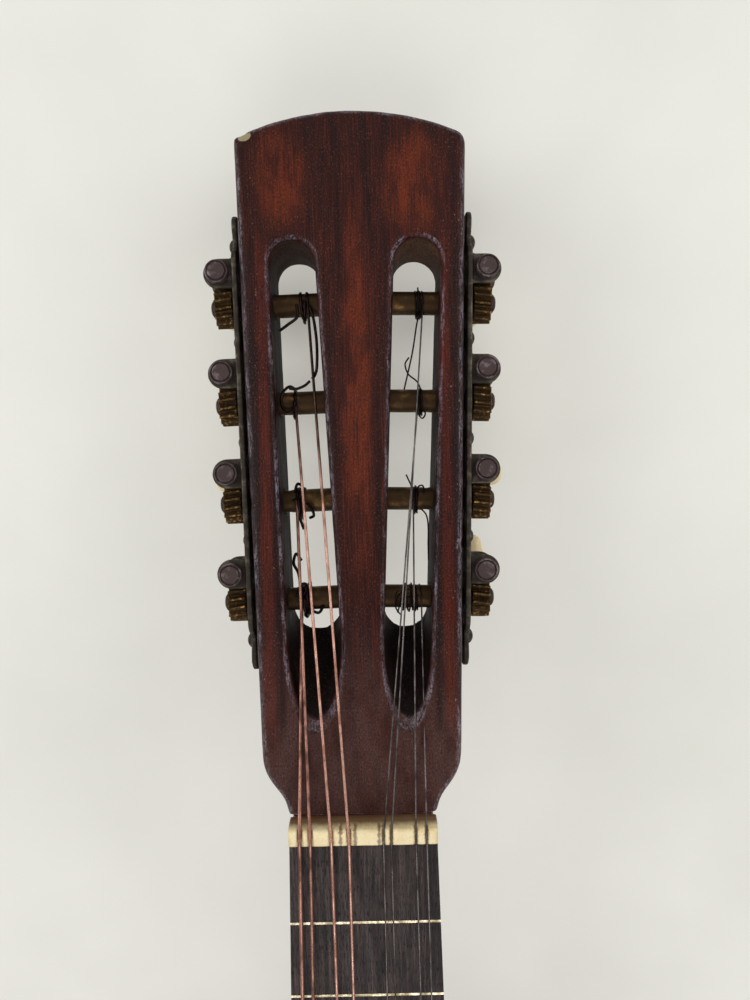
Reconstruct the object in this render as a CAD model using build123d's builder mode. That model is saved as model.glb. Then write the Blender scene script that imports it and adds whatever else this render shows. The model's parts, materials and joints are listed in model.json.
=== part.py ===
from build123d import *
import os
from math import asin, atan, atan2, cos, degrees, hypot, pi, sin, radians, tan

# A charango: a small Andean fretted instrument with a slotted head, open-geared tuners
# and metal strings. It lies on its back: +X is its treble side, +Y runs to the tip of
# the head, +Z comes out of the soundboard. Millimetres. The origin lies under the
# middle of its length, on the plane that the back rests on.

# --- Driving dimensions: the whole instrument -------------------------------------
SCALE = 370.0               # nut to saddle
BODY_DEPTH = 66.0           # back's outer face to soundboard's outer face
BODY_LENGTH = 250.0
NECK_LENGTH = SCALE / 2     # the neck meets the body at the twelfth fret
NUT_THICK = 4.0
HEAD_TILT = radians(12.0)
HEAD_LENGTH = 158.1
HEAD_THICK = 18.4
HEAD_EDGE = 1.6             # radius worn onto the head's outer edges

# --- Body --------------------------------------------------------------------------
UPPER_BOUT = (69.0, 51.0)   # half width, and distance below the neck joint
WAIST = (57.5, 105.0)
LOWER_BOUT = (87.5, 183.0)
JOINT_HALF = 24.0           # the rim is flat this far out, where the heel meets it
PLATE_THICK = 2.6           # soundboard and back
SIDE_THICK = 2.2
BINDING_THICK = 1.6
LINING_THICK = 6.0
LINING_TALL = 8.0
HOLE_RADIUS = 32.0
HOLE_BELOW_JOINT = 95.0
ROSETTE = (35.0, 42.0)      # inner and outer radius
ROSETTE_DEEP = 0.8
HEEL_BLOCK = (64.0, 30.0)   # width, length
END_BLOCK = (56.0, 18.0)
BRACE_WIDE = 6.0
BRACE_TALL = 11.0
TOP_BRACES = (57.0, 136.0)  # distances below the neck joint
BACK_BRACES = (62.0, 122.0, 188.0)
FAN_BRACES = ((-30.0, -9.0), (0.0, 0.0), (30.0, 9.0))    # offset from the middle, and slant
FAN_LENGTH = 80.0
FAN_TALL = 6.0

# --- Neck, fretboard and nut ---------------------------------------------------------
NECK_DEPTH = 19.0
NECK_DRAFT = 8.0            # the neck's cheeks lean in by this many degrees
NECK_ROUND = 10.0
HEEL_FOOT = 15.0            # heel's length at the back
HEEL_RISE = 3.0             # heel stops this far above the back
SCARF_START = 7.0           # depth below the head's face where the scarf joint starts
SCARF_END = 18.0            # where it comes out at the back of the head
NUT_WIDTH = 32.7
NUT_TALL = 5.4
BOARD_THICK = 3.6
BOARD_HALF_NUT = 16.3
BOARD_HALF_JOINT = 22.5
BOARD_LENGTH = 236.0
FRET_COUNT = 17
FRET_WIDE = 2.0
FRET_TALL = 0.75
FRET_FLAT = 0.9             # width of the flat that playing has worn on the crowns
FRET_CHEEK = (0.82, 0.42)   # the crown's cheek: out from the fret's middle, and height
TANG_WIDE = 0.6
TANG_DEEP = 1.7
FRET_BEVEL = 1.1

# --- Bridge and saddle ---------------------------------------------------------------
ACTION = 2.65               # string above the twelfth fret
BRIDGE_HALF = 52.0
BRIDGE_CORE_HALF = 31.0
BRIDGE_FRONT = 7.5          # from the saddle's middle to the bridge's front edge
BRIDGE_REAR = 17.0
WING_TALL = 3.2
WING_ROUND = 4.0
BRIDGE_LIP = 4.6            # height of the front edge
SADDLE_BLOCK = (4.4, 2.4, 7.0)      # ahead of the saddle's middle, behind it, height
BRIDGE_VALLEY = (5.0, 3.4, 3.0)     # behind the saddle, height there and at the tie block
TIE_FRONT = 9.0             # from the saddle to the tie block
TIE_TALL = 7.6
TIE_HOLE_TALL = 4.9
TIE_HOLE_RADIUS = 0.9
SADDLE_THICK = 2.6
SADDLE_HALF = 28.0
SADDLE_SEAT = 1.8
SADDLE_ROUND = 1.29

# --- Head ------------------------------------------------------------------------------
HEAD_FOOT_HALF = 16.8       # half width at the nut
HEAD_HALF_NUT = 22.1        # half width of the side walls' lines, where they pass the nut
HEAD_SPREAD = 0.0265        # and how much each wall leans out per millimetre
HEAD_TIP_RADIUS = 62.0
HEAD_CORNER = 3.0
SHOULDER = 14.0             # the shoulder's curve ends here
SHOULDER_PULL = 6.0         # and both its ends aim at this height
SLOT_TOP = 129.0
SLOT_FOOT = 39.5            # through part of the slot starts here
RAMP_FOOT = 19.5            # ramp starts here, at the face
RAMP_LENGTH = 18.5          # its rounded end is this long
RAMP_JOIN = 60.0            # it has run into the through part by here
SLOT_EDGE = 0.8             # bevel around the slots' mouths
# Slot walls, as (u at 48 from the nut, u at 116 from the nut)
SLOT_WALLS = {"left": ((-16.4, -18.4), (-4.7, -8.0)), "right": ((6.0, 9.1), (16.5, 19.7))}
SLOT_STATIONS = (48.0, 116.0)

# --- Tuners ------------------------------------------------------------------------------
TUNER_PITCH = 23.0
FIRST_TUNER = 116.2         # roller nearest the tip
ROLLER_DEPTH = 9.2          # roller axis below the head's face
ROLLER_RADIUS = 2.7
ROLLER_REACH = 20.5         # from the side wall into the middle bar
ROLLER_NECK = 1.8           # radius where it runs in the plate
ROLLER_STUB = 1.5           # radius inside its wheel
RUN_FIT = 0.06              # radial clearance of what turns
SEAT_GAP = 0.03             # between a screw's head and the wheel that it holds
PLATE_GAP = 0.9             # plate stands off the wood
PLATE_METAL = 1.2
PLATE_ENDS = (31.2, 137.4)
PLATE_HALF = 6.7
PLATE_TAPER = 12.0          # the waisted ends start this far from the tips
PLATE_WAIST = ((8.6, 4.3), (6.4, 3.4), (3.0, 4.1))  # from the tip, half width
SCREW_PLACES = (38.0, 61.5, 84.5, 108.0, 130.5)
SCREW_RADIUS = 0.8
SCREW_HEAD = 2.3
SCREW_DOME = 1.3            # height of the screws' domes
SCREW_CUT = 0.5             # width of their slots
SCREW_DEEP = 5.0            # and how far they go into the wood
WHEEL_TEETH = 14
WHEEL_PITCH_RADIUS = 4.3
WHEEL_FACES = (0.7, 4.9)    # wheel's two faces, out from the plate
WHEEL_SCREW = (2.1, 1.1)    # radius and height of the head
WHEEL_SCREW_EDGE = (1.4, 0.6)       # its bevel: radius at the top, height at the rim
WHEEL_SCREW_SHANK = (0.7, 3.2)      # radius and length
WHEEL_SCREW_CUT = 0.6
SCREW_PLAY = 0.02           # radial room round the shank
STRING_HOLE = (0.6, 8.0)    # hole through a roller: radius, distance in from the side wall
WORM_RADIUS = 2.6           # pitch radius of the worm
WORM_OUT = 3.4              # worm axis, out from the plate
WORM_TURNS = 3
ADDENDUM = 0.4
WORM_ROOT = 2.05
WHEEL_ROOT = 3.65
THREAD_SHARE = 0.34         # thread's thickness at the pitch line, per axial pitch
TOOTH_SHARE = 0.36
FLANK = tan(radians(20))
LUG_HALF = 3.4
LUG_THICK = 1.3
LUG_INNER = 3.9             # lugs' inner faces, from the worm's middle
JOURNAL = 1.5
SHAFT_HEAD = (2.7, 2.1)     # radius, height of the shaft's front head
HEAD_GROOVE = (1.95, 2.3, 0.45)     # ring cut in its face: inner and outer radius, depth
HEAD_RIM = (2.52, 0.12, 0.5)        # its rim: radius and drop at the top, drop at the edge
COLLAR = (2.3, 1.4)
BUTTON_NECK = 10.4          # button's front end, behind the worm's middle
BUTTON = (14.0, 5.8, 14.0)  # width, thickness, length
BUTTON_CORNER = 2.4
BUTTON_ROUND = 1.7
BUTTON_STEM = (2.6, 2.0)    # radius, length
BUTTON_SEAT = 8.0
# How far each button has been turned from square with the plate, tip tuner first
BUTTON_TURNS = {"left": (75.0, 85.0, 10.0, 20.0), "right": (100.0, 80.0, 5.0, 78.0)}

# --- Strings: x at the saddle, x at the nut, tuner (side, number), u on the roller, diameter
STRINGS = (
    (-22.4, -13.77, ("left", 4), -13.3, 0.87),
    (-19.0, -11.46, ("left", 3), -14.0, 0.78),
    (-6.6, -6.91, ("left", 2), -13.9, 0.72),
    (-3.4, -3.06, ("left", 1), -10.6, 0.70),
    (5.6, 4.42, ("right", 2), 14.6, 0.38),
    (8.8, 6.13, ("right", 1), 16.2, 0.38),
    (18.0, 11.48, ("right", 3), 13.0, 0.38),
    (21.4, 13.82, ("right", 4), 14.4, 0.38),
)
STRING_BENDS = (2.5, 3.0, 4.0)   # at the tie hole, the saddle and the nut
STRING_LIFT = 0.85          # underside of the strings above the first fret's crown, at the nut
SADDLE_LIFT = 0.22          # corner of a string's route above the saddle's crown
NUT_ROOM = 0.07             # play under a string in its nut slot
STRING_ROOM = 0.12          # strings clear the wood that they graze by this
NUT_BREAK = 1.5             # strings turn down this far behind the nut's front edge

# --- Worked out ----------------------------------------------------------------------------
HEAD_TIP = NUT_THICK + (HEAD_LENGTH - HEAD_EDGE) * cos(HEAD_TILT) + HEAD_EDGE * (1 - sin(HEAD_TILT))
BODY_END = NECK_LENGTH + BODY_LENGTH
NUT_Y = (BODY_END - HEAD_TIP) / 2
JOINT_Y = NUT_Y - NECK_LENGTH
TAIL_Y = NUT_Y - BODY_END
SADDLE_Y = NUT_Y - SCALE
HOLE_Y = JOINT_Y - HOLE_BELOW_JOINT
TOP_UNDER = BODY_DEPTH - PLATE_THICK
BOARD_TOP = BODY_DEPTH + BOARD_THICK
STRING_FOOT = BOARD_TOP + FRET_TALL + STRING_LIFT
SADDLE_TOP = STRING_FOOT + 2 * (ACTION - STRING_LIFT)
LEAN = atan(HEAD_SPREAD)
PLATE_FACE = PLATE_GAP + PLATE_METAL
TOOTH_PITCH = 2 * pi * WHEEL_PITCH_RADIUS / WHEEL_TEETH
WORM_AHEAD = WHEEL_PITCH_RADIUS + WORM_RADIUS
HEAD = Plane(origin=(0, NUT_Y + NUT_THICK, BODY_DEPTH), x_dir=(1, 0, 0),
             z_dir=(0, sin(HEAD_TILT), cos(HEAD_TILT)))
SIDES = {"left": -1, "right": 1}


def save(piece, name):
    """Labels a finished sub-part and writes it to its own STEP file."""
    piece.part.label = name
    export_step(piece.part, f"parts/{name}.step")


def body_face(inset):
    """The body's plan outline, drawn in from the rim by inset."""
    top_y = JOINT_Y - inset
    bouts = [(half - inset, JOINT_Y - down) for half, down in (UPPER_BOUT, WAIST, LOWER_BOUT)]
    with BuildSketch() as outline:
        with BuildLine():
            Line((0, top_y), (JOINT_HALF, top_y))
            Spline((JOINT_HALF, top_y), *bouts, (0, TAIL_Y + inset),
                   tangents=((1, 0), (0, -1), (0, -1), (0, -1), (-1, 0)))
            mirror(about=Plane.YZ)
        make_face()
    return outline.sketch


def head_point(u, v, w):
    """A point on the head: u across, v from the nut's foot to the tip, w out of the face."""
    return HEAD.from_local_coords(Vector(u, v, w))


def side_plane(side, along, depth, out=0.0):
    """A plane on a side wall of the head: its x runs to the tip, its z comes out of the wall."""
    sign = SIDES[side]
    outward = HEAD.x_dir * (sign * cos(LEAN)) - HEAD.y_dir * sin(LEAN)
    tipward = HEAD.x_dir * (sign * sin(LEAN)) + HEAD.y_dir * cos(LEAN)
    foot = head_point(sign * HEAD_HALF_NUT, 0, -depth)
    return Plane(origin=foot + tipward * along + outward * out, x_dir=tipward, z_dir=outward)


def tuner_along(number):
    """Where a tuner's roller is along its side wall; tuner 1 is nearest the tip."""
    return FIRST_TUNER - TUNER_PITCH * (number - 1)


os.makedirs("parts", exist_ok=True)
rim_face = body_face(0)
plate_face = body_face(BINDING_THICK)
cavity_face = body_face(SIDE_THICK)
core_face = body_face(SIDE_THICK + LINING_THICK)

# === Body ====================================================================================

with BuildPart() as soundboard:
    with BuildSketch(Plane.XY.offset(TOP_UNDER)):
        add(plate_face)
        with Locations((0, HOLE_Y)):
            Circle(HOLE_RADIUS, mode=Mode.SUBTRACT)
    extrude(amount=PLATE_THICK)
    with BuildSketch(Plane.XY.offset(BODY_DEPTH)):
        with Locations((0, HOLE_Y)):
            Circle(ROSETTE[1])
            Circle(ROSETTE[0], mode=Mode.SUBTRACT)
    extrude(amount=-ROSETTE_DEEP, mode=Mode.SUBTRACT)
save(soundboard, "soundboard")

with BuildPart() as rosette:
    with BuildSketch(Plane.XY.offset(BODY_DEPTH - ROSETTE_DEEP)):
        with Locations((0, HOLE_Y)):
            Circle(ROSETTE[1])
            Circle(ROSETTE[0], mode=Mode.SUBTRACT)
    extrude(amount=ROSETTE_DEEP)
save(rosette, "rosette")

with BuildPart() as back_plate:
    with BuildSketch():
        add(plate_face)
    extrude(amount=PLATE_THICK)
save(back_plate, "back_plate")

with BuildPart() as bindings:
    for bottom in (0, TOP_UNDER):
        with BuildSketch(Plane.XY.offset(bottom)):
            add(rim_face)
            add(plate_face, mode=Mode.SUBTRACT)
        extrude(amount=PLATE_THICK)
save(bindings, "bindings")

for half_name, kept in (("side_left", Keep.BOTTOM), ("side_right", Keep.TOP)):
    with BuildPart() as side_half:
        with BuildSketch(Plane.XY.offset(PLATE_THICK)):
            add(rim_face)
            add(cavity_face, mode=Mode.SUBTRACT)
        extrude(amount=TOP_UNDER - PLATE_THICK)
        split(bisect_by=Plane.YZ, keep=kept)
    save(side_half, half_name)

for lining_name, bottom in (("top_linings", TOP_UNDER - LINING_TALL), ("back_linings", PLATE_THICK)):
    with BuildPart() as lining:
        with BuildSketch(Plane.XY.offset(bottom)):
            add(cavity_face)
            add(core_face, mode=Mode.SUBTRACT)
            for block, end in ((HEEL_BLOCK, JOINT_Y), (END_BLOCK, TAIL_Y)):
                with Locations((0, end)):
                    Rectangle(block[0], 2 * block[1], mode=Mode.SUBTRACT)
        extrude(amount=LINING_TALL)
    save(lining, lining_name)

for block_name, block, end in (("heel_block", HEEL_BLOCK, JOINT_Y), ("end_block", END_BLOCK, TAIL_Y)):
    with BuildPart() as end_piece:
        with BuildSketch(Plane.XY.offset(PLATE_THICK)):
            add(cavity_face)
            with Locations((0, end)):
                Rectangle(block[0], 2 * block[1], mode=Mode.INTERSECT)
        extrude(amount=TOP_UNDER - PLATE_THICK)
    save(end_piece, block_name)

with BuildPart() as top_braces:
    with BuildSketch(Plane.XY.offset(TOP_UNDER)):
        for down in TOP_BRACES:
            with Locations((0, JOINT_Y - down)):
                Rectangle(3 * LOWER_BOUT[0], BRACE_WIDE)
        add(core_face, mode=Mode.INTERSECT)
    extrude(amount=-BRACE_TALL)
    fan_middle = JOINT_Y - TOP_BRACES[1] - BRACE_WIDE - FAN_LENGTH / 2
    with BuildSketch(Plane.XY.offset(TOP_UNDER)):
        for offset_x, slant in FAN_BRACES:
            with Locations((offset_x, fan_middle)):
                Rectangle(BRACE_WIDE, FAN_LENGTH, rotation=slant)
    extrude(amount=-FAN_TALL)
save(top_braces, "top_braces")

with BuildPart() as back_braces:
    with BuildSketch(Plane.XY.offset(PLATE_THICK)):
        for down in BACK_BRACES:
            with Locations((0, JOINT_Y - down)):
                Rectangle(3 * LOWER_BOUT[0], BRACE_WIDE)
        add(core_face, mode=Mode.INTERSECT)
    extrude(amount=BRACE_TALL)
save(back_braces, "back_braces")

# === Bridge and saddle =========================================================================

with BuildPart() as bridge:
    with BuildSketch(Plane.YZ):
        with BuildLine():
            Polyline(
                (SADDLE_Y + BRIDGE_FRONT, BODY_DEPTH),
                (SADDLE_Y + BRIDGE_FRONT, BODY_DEPTH + BRIDGE_LIP),
                (SADDLE_Y + SADDLE_BLOCK[0], BODY_DEPTH + SADDLE_BLOCK[2]),
                (SADDLE_Y - SADDLE_BLOCK[1], BODY_DEPTH + SADDLE_BLOCK[2]),
                (SADDLE_Y - BRIDGE_VALLEY[0], BODY_DEPTH + BRIDGE_VALLEY[1]),
                (SADDLE_Y - TIE_FRONT, BODY_DEPTH + BRIDGE_VALLEY[2]),
                (SADDLE_Y - TIE_FRONT, BODY_DEPTH + TIE_TALL),
                (SADDLE_Y - BRIDGE_REAR, BODY_DEPTH + TIE_TALL),
                (SADDLE_Y - BRIDGE_REAR, BODY_DEPTH),
                close=True,
            )
        make_face()
    extrude(amount=BRIDGE_CORE_HALF, both=True)
    with BuildSketch(Plane.XY.offset(BODY_DEPTH)):
        with Locations((0, SADDLE_Y + (BRIDGE_FRONT - BRIDGE_REAR) / 2)):
            RectangleRounded(2 * BRIDGE_HALF, BRIDGE_FRONT + BRIDGE_REAR, WING_ROUND)
    extrude(amount=WING_TALL)
    with BuildSketch(Plane.XY.offset(BODY_DEPTH + SADDLE_SEAT)):
        with Locations((0, SADDLE_Y)):
            Rectangle(2 * SADDLE_HALF, SADDLE_THICK)
    extrude(amount=TIE_TALL, mode=Mode.SUBTRACT)
    with BuildSketch(Plane.XZ.offset(-SADDLE_Y + BRIDGE_REAR)):
        with Locations([(string[0], BODY_DEPTH + TIE_HOLE_TALL) for string in STRINGS]):
            Circle(TIE_HOLE_RADIUS)
    extrude(amount=-(BRIDGE_REAR - TIE_FRONT), mode=Mode.SUBTRACT)
save(bridge, "bridge")

with BuildPart() as saddle:
    with BuildSketch(Plane.YZ):
        with Locations((SADDLE_Y, (SADDLE_TOP + BODY_DEPTH + SADDLE_SEAT) / 2)):
            RectangleRounded(SADDLE_THICK, SADDLE_TOP - BODY_DEPTH - SADDLE_SEAT, SADDLE_ROUND)
    extrude(amount=SADDLE_HALF, both=True)
save(saddle, "saddle")

# === Neck and fretboard ==========================================================================


def board_half(down):
    """Half the fretboard's width, this far below the nut."""
    return BOARD_HALF_NUT + (BOARD_HALF_JOINT - BOARD_HALF_NUT) * down / NECK_LENGTH


def board_outline(above, below):
    """Plan corners of the fretboard's taper, from above the nut to below it."""
    return [
        (-board_half(-above), NUT_Y + above),
        (board_half(-above), NUT_Y + above),
        (board_half(below), NUT_Y - below),
        (-board_half(below), NUT_Y - below),
    ]


def yz(point):
    """A point's place in the YZ plane."""
    return (point.Y, point.Z)


back_meets_neck = head_point(0, (NECK_DEPTH - HEAD_THICK * cos(HEAD_TILT)) / sin(HEAD_TILT), -HEAD_THICK)
scarf_inner = head_point(0, 0, -SCARF_START)
scarf_outer = head_point(0, SCARF_END, -HEAD_THICK)

with BuildPart() as neck:
    with BuildSketch(Plane.XY.offset(BODY_DEPTH)):
        with BuildLine():
            Polyline(*board_outline(2 * SCARF_END, NECK_LENGTH + 20), close=True)
        make_face()
    extrude(amount=-BODY_DEPTH, taper=NECK_DRAFT)
    with BuildSketch(Plane.YZ):
        with BuildLine():
            FilletPolyline(
                (JOINT_Y, BODY_DEPTH),
                (NUT_Y + NUT_THICK, BODY_DEPTH),
                yz(scarf_inner),
                yz(scarf_outer),
                yz(back_meets_neck),
                (JOINT_Y + HEEL_FOOT + 9, BODY_DEPTH - NECK_DEPTH - 2.5),
                (JOINT_Y + HEEL_FOOT, HEEL_RISE),
                (JOINT_Y, HEEL_RISE),
                radius=(0, 0, 0, 0, 40, 20, 0, 0),
                close=True,
            )
        make_face()
    extrude(amount=BOARD_HALF_JOINT + BOARD_HALF_NUT, both=True, mode=Mode.INTERSECT)
    for sign in (-1, 1):
        fillet([
            edge for edge in edges()
            if HEEL_RISE + 0.5 < edge.center().Z < BODY_DEPTH - 1
            and edge.center().X * sign > 9
            and edge.center().Y > JOINT_Y + 0.5
            and (HEAD.to_local_coords(edge.center()).Y < -0.1
                 or HEAD.to_local_coords(edge.center()).Z < 0.5 - HEAD_THICK)
        ], NECK_ROUND)
save(neck, "neck")

with BuildPart() as fretboard:
    with BuildSketch(Plane.XY.offset(BODY_DEPTH)):
        with BuildLine():
            Polyline(*board_outline(0, BOARD_LENGTH), close=True)
        make_face()
    extrude(amount=BOARD_THICK)
    fret_rows = [(0, NUT_Y - SCALE * (1 - 2 ** (-number / 12))) for number in range(1, FRET_COUNT + 1)]
    with BuildSketch(Plane.XY.offset(BOARD_TOP)):
        with Locations(fret_rows):
            Rectangle(4 * BOARD_HALF_JOINT, TANG_WIDE)
    extrude(amount=-TANG_DEEP, mode=Mode.SUBTRACT)
save(fretboard, "fretboard")

with BuildPart() as fret_room:
    with BuildSketch(Plane.XY.offset(BOARD_TOP)):
        with BuildLine():
            Polyline(*board_outline(0, BOARD_LENGTH), close=True)
        make_face()
    extrude(amount=-TANG_DEEP)
    with BuildSketch(Plane.XY.offset(BOARD_TOP)):
        with BuildLine():
            Polyline(*board_outline(0, BOARD_LENGTH), close=True)
        make_face()
    extrude(amount=FRET_TALL, taper=degrees(atan(FRET_BEVEL / FRET_TALL)))

with BuildPart() as frets:
    with BuildSketch(Plane.YZ):
        for _, row in fret_rows:
            with Locations((row, BOARD_TOP)):
                Rectangle(TANG_WIDE, 2 * TANG_DEEP)
            crown = BOARD_TOP + FRET_TALL
            with BuildLine():
                Line((row - FRET_FLAT / 2, crown), (row + FRET_FLAT / 2, crown))
                for side in (-1, 1):
                    ThreePointArc((row + side * FRET_FLAT / 2, crown),
                                  (row + side * FRET_CHEEK[0], BOARD_TOP + FRET_CHEEK[1]),
                                  (row + side * FRET_WIDE / 2, BOARD_TOP))
                Line((row + FRET_WIDE / 2, BOARD_TOP), (row - FRET_WIDE / 2, BOARD_TOP))
            make_face()
        with Locations([(row, BOARD_TOP + FRET_TALL + TANG_DEEP) for _, row in fret_rows]):
            Rectangle(TANG_WIDE, 2 * TANG_DEEP, mode=Mode.SUBTRACT)
    extrude(amount=2 * BOARD_HALF_JOINT, both=True)
    add(fret_room.part, mode=Mode.INTERSECT)
save(frets, "frets")

# === Strings' routes ================================================================================


def roller_center(side, number, u):
    """The middle of a roller's cross-section, where the roller crosses u."""
    sign = SIDES[side]
    along = tuner_along(number)
    inward = (HEAD_HALF_NUT + along * sin(LEAN) - sign * u) / cos(LEAN)
    return head_point(u, along * cos(LEAN) + inward * sin(LEAN), -ROLLER_DEPTH)


def string_route(string):
    """Points from the bridge's tie hole over the saddle and the nut to the top of the roller."""
    saddle_x, nut_x, (side, number), roller_u, diameter = string
    radius = diameter / 2
    hole_z = BODY_DEPTH + TIE_HOLE_TALL
    nut_point = Vector(nut_x, NUT_Y + NUT_BREAK, STRING_FOOT + radius)
    start = HEAD.to_local_coords(nut_point)
    center = HEAD.to_local_coords(roller_center(side, number, roller_u))
    reach = ROLLER_RADIUS + radius + RUN_FIT
    run = center.Y - start.Y
    drop = start.Z - center.Z
    fall = atan2(drop, run) - asin(reach / hypot(run, drop))
    landing = head_point(roller_u, center.Y + reach * sin(fall), center.Z + reach * cos(fall))
    return [
        Vector(saddle_x, SADDLE_Y - BRIDGE_REAR + 1, hole_z),
        Vector(saddle_x, SADDLE_Y - TIE_FRONT + 0.4, hole_z),
        Vector(saddle_x, SADDLE_Y, SADDLE_TOP + radius + SADDLE_LIFT),
        nut_point,
        landing,
    ]


with BuildPart() as nut:
    with BuildSketch(Plane.YZ):
        with Locations((NUT_Y + NUT_THICK / 2, BODY_DEPTH + NUT_TALL / 2)):
            Rectangle(NUT_THICK, NUT_TALL)
    extrude(amount=NUT_WIDTH / 2, both=True)
    fillet(edges().group_by(Axis.Z)[-1], 0.6)
    for string in STRINGS:
        _, _, _, corner, landing = string_route(string)
        slope = (landing.Z - corner.Z) / (landing.Y - corner.Y)
        floor_z = corner.Z - string[-1] / 2 - NUT_ROOM
        past = NUT_THICK
        with BuildSketch(Plane.YZ.offset(corner.X)):
            with BuildLine():
                Polyline(
                    (corner.Y - past, floor_z),
                    (corner.Y, floor_z),
                    (corner.Y + past, floor_z + slope * past),
                    (corner.Y + past, floor_z + NUT_TALL),
                    (corner.Y - past, floor_z + NUT_TALL),
                    close=True,
                )
            make_face()
        extrude(amount=string[-1] / 2 + 0.18, both=True, mode=Mode.SUBTRACT)
save(nut, "nut")

for pair_number in range(4):
    with BuildPart() as string_pair:
        for string in STRINGS[2 * pair_number:2 * pair_number + 2]:
            with BuildLine() as route:
                FilletPolyline(*string_route(string), radius=STRING_BENDS)
            with BuildSketch(Plane(origin=route.line @ 0, z_dir=route.line % 0)):
                Circle(string[-1] / 2)
            sweep(path=route.line)
    save(string_pair, f"string_pair_{pair_number + 1}")

# === Head ===========================================================================================


def wall_u(wall, v):
    """Where a slot's wall is at v."""
    near, far = SLOT_STATIONS
    return wall[0] + (wall[1] - wall[0]) * (v - near) / (far - near)


def slot_face(walls, foot, foot_length, top, round_top, grow=0.0):
    """A slot's outline: an elliptical foot, straight walls and a round or straight top."""
    start = foot + foot_length
    half_top = (wall_u(walls[1], top) - wall_u(walls[0], top)) / 2
    end = top - half_top if round_top else top
    low_start, high_start = wall_u(walls[0], start) - grow, wall_u(walls[1], start) + grow
    low_end, high_end = wall_u(walls[0], end) - grow, wall_u(walls[1], end) + grow
    with BuildSketch() as slot:
        with BuildLine():
            EllipticalCenterArc(((low_start + high_start) / 2, start), (high_start - low_start) / 2,
                                foot_length + grow, start_angle=180, arc_size=180)
            Line((high_start, start), (high_end, end))
            if round_top:
                ThreePointArc((high_end, end), ((low_end + high_end) / 2, top + grow), (low_end, end))
            else:
                Line((high_end, end), (low_end, end))
            Line((low_end, end), (low_start, start))
        make_face()
    return slot.sketch


tip_half = HEAD_HALF_NUT + HEAD_SPREAD * (HEAD_LENGTH - 6)
tip_swing = asin(tip_half / HEAD_TIP_RADIUS)
tip_center = HEAD_LENGTH - HEAD_TIP_RADIUS
shoulder_half = HEAD_HALF_NUT + HEAD_SPREAD * SHOULDER
scarf_run = scarf_outer - scarf_inner

with BuildPart() as headstock:
    with BuildSketch(HEAD) as head_outline:
        with BuildLine():
            Line((0, 0), (HEAD_FOOT_HALF, 0))
            Bezier((HEAD_FOOT_HALF, 0), (HEAD_FOOT_HALF + 0.4, SHOULDER_PULL),
                   (shoulder_half, SHOULDER_PULL), (shoulder_half, SHOULDER))
            Line((shoulder_half, SHOULDER), (tip_half, tip_center + HEAD_TIP_RADIUS * cos(tip_swing)))
            CenterArc((0, tip_center), HEAD_TIP_RADIUS, 90, -degrees(tip_swing))
            mirror(about=Plane.YZ)
        make_face()
        fillet(head_outline.vertices().sort_by(Axis.Y)[-3:-1], HEAD_CORNER)
    extrude(amount=-HEAD_THICK)
    for broad_face in (faces().sort_by(Axis((0, 0, 0), HEAD.z_dir))[-1],
                       faces().sort_by(Axis((0, 0, 0), HEAD.z_dir))[0]):
        fillet(broad_face.edges().sort_by(Axis((0, 0, 0), HEAD.y_dir))[2:], HEAD_EDGE)
    with BuildSketch(Plane.YZ):
        with BuildLine():
            Polyline(yz(scarf_inner), yz(scarf_outer + scarf_run * 0.3),
                     yz(head_point(0, -6, -2 * HEAD_THICK)), yz(head_point(0, -6, -SCARF_START)),
                     close=True)
        make_face()
    extrude(amount=2 * NUT_WIDTH, both=True, mode=Mode.SUBTRACT)
    for walls in SLOT_WALLS.values():
        through = (wall_u(walls[1], SLOT_FOOT) - wall_u(walls[0], SLOT_FOOT)) / 2
        with BuildSketch(HEAD):
            add(slot_face(walls, SLOT_FOOT, through, SLOT_TOP, True))
        extrude(amount=-HEAD_THICK, mode=Mode.SUBTRACT)
        with BuildSketch(HEAD):
            add(slot_face(walls, RAMP_FOOT, RAMP_LENGTH, RAMP_JOIN, False))
        with BuildSketch(HEAD.offset(-HEAD_THICK)):
            add(slot_face(walls, SLOT_FOOT, through, RAMP_JOIN, False))
        loft(ruled=True, mode=Mode.SUBTRACT)
        for foot, foot_length, top, round_top in ((SLOT_FOOT, through, SLOT_TOP, True),
                                                  (RAMP_FOOT, RAMP_LENGTH, RAMP_JOIN, False)):
            with BuildSketch(HEAD):
                add(slot_face(walls, foot, foot_length, top, round_top, SLOT_EDGE))
            with BuildSketch(HEAD.offset(-SLOT_EDGE)):
                add(slot_face(walls, foot, foot_length, top, round_top))
            loft(ruled=True, mode=Mode.SUBTRACT)
    for string in STRINGS:
        corner, landing = string_route(string)[-2:]
        with Locations(Plane(origin=corner, z_dir=landing - corner).location):
            Cylinder(string[-1] / 2 + STRING_ROOM, 2 * RAMP_FOOT,
                     align=(Align.CENTER, Align.CENTER, Align.MIN), mode=Mode.SUBTRACT)
    for side in SIDES:
        for number in range(1, 5):
            with Locations(side_plane(side, tuner_along(number), ROLLER_DEPTH).location):
                Cylinder(ROLLER_RADIUS + RUN_FIT, ROLLER_REACH + RUN_FIT,
                         align=(Align.CENTER, Align.CENTER, Align.MAX), mode=Mode.SUBTRACT)
        for place in SCREW_PLACES:
            with Locations(side_plane(side, place, ROLLER_DEPTH).location):
                Cylinder(SCREW_RADIUS, SCREW_DEEP, align=(Align.CENTER, Align.CENTER, Align.MAX),
                         mode=Mode.SUBTRACT)
save(headstock, "headstock")

# === Tuners ==========================================================================================


def place_right(master, plane, turn=0.0):
    """A copy of a master piece on a plane of the head's right side, turned about its z."""
    return master.part.moved(plane.location * Location((0, 0, 0), (0, 0, turn)))


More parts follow.
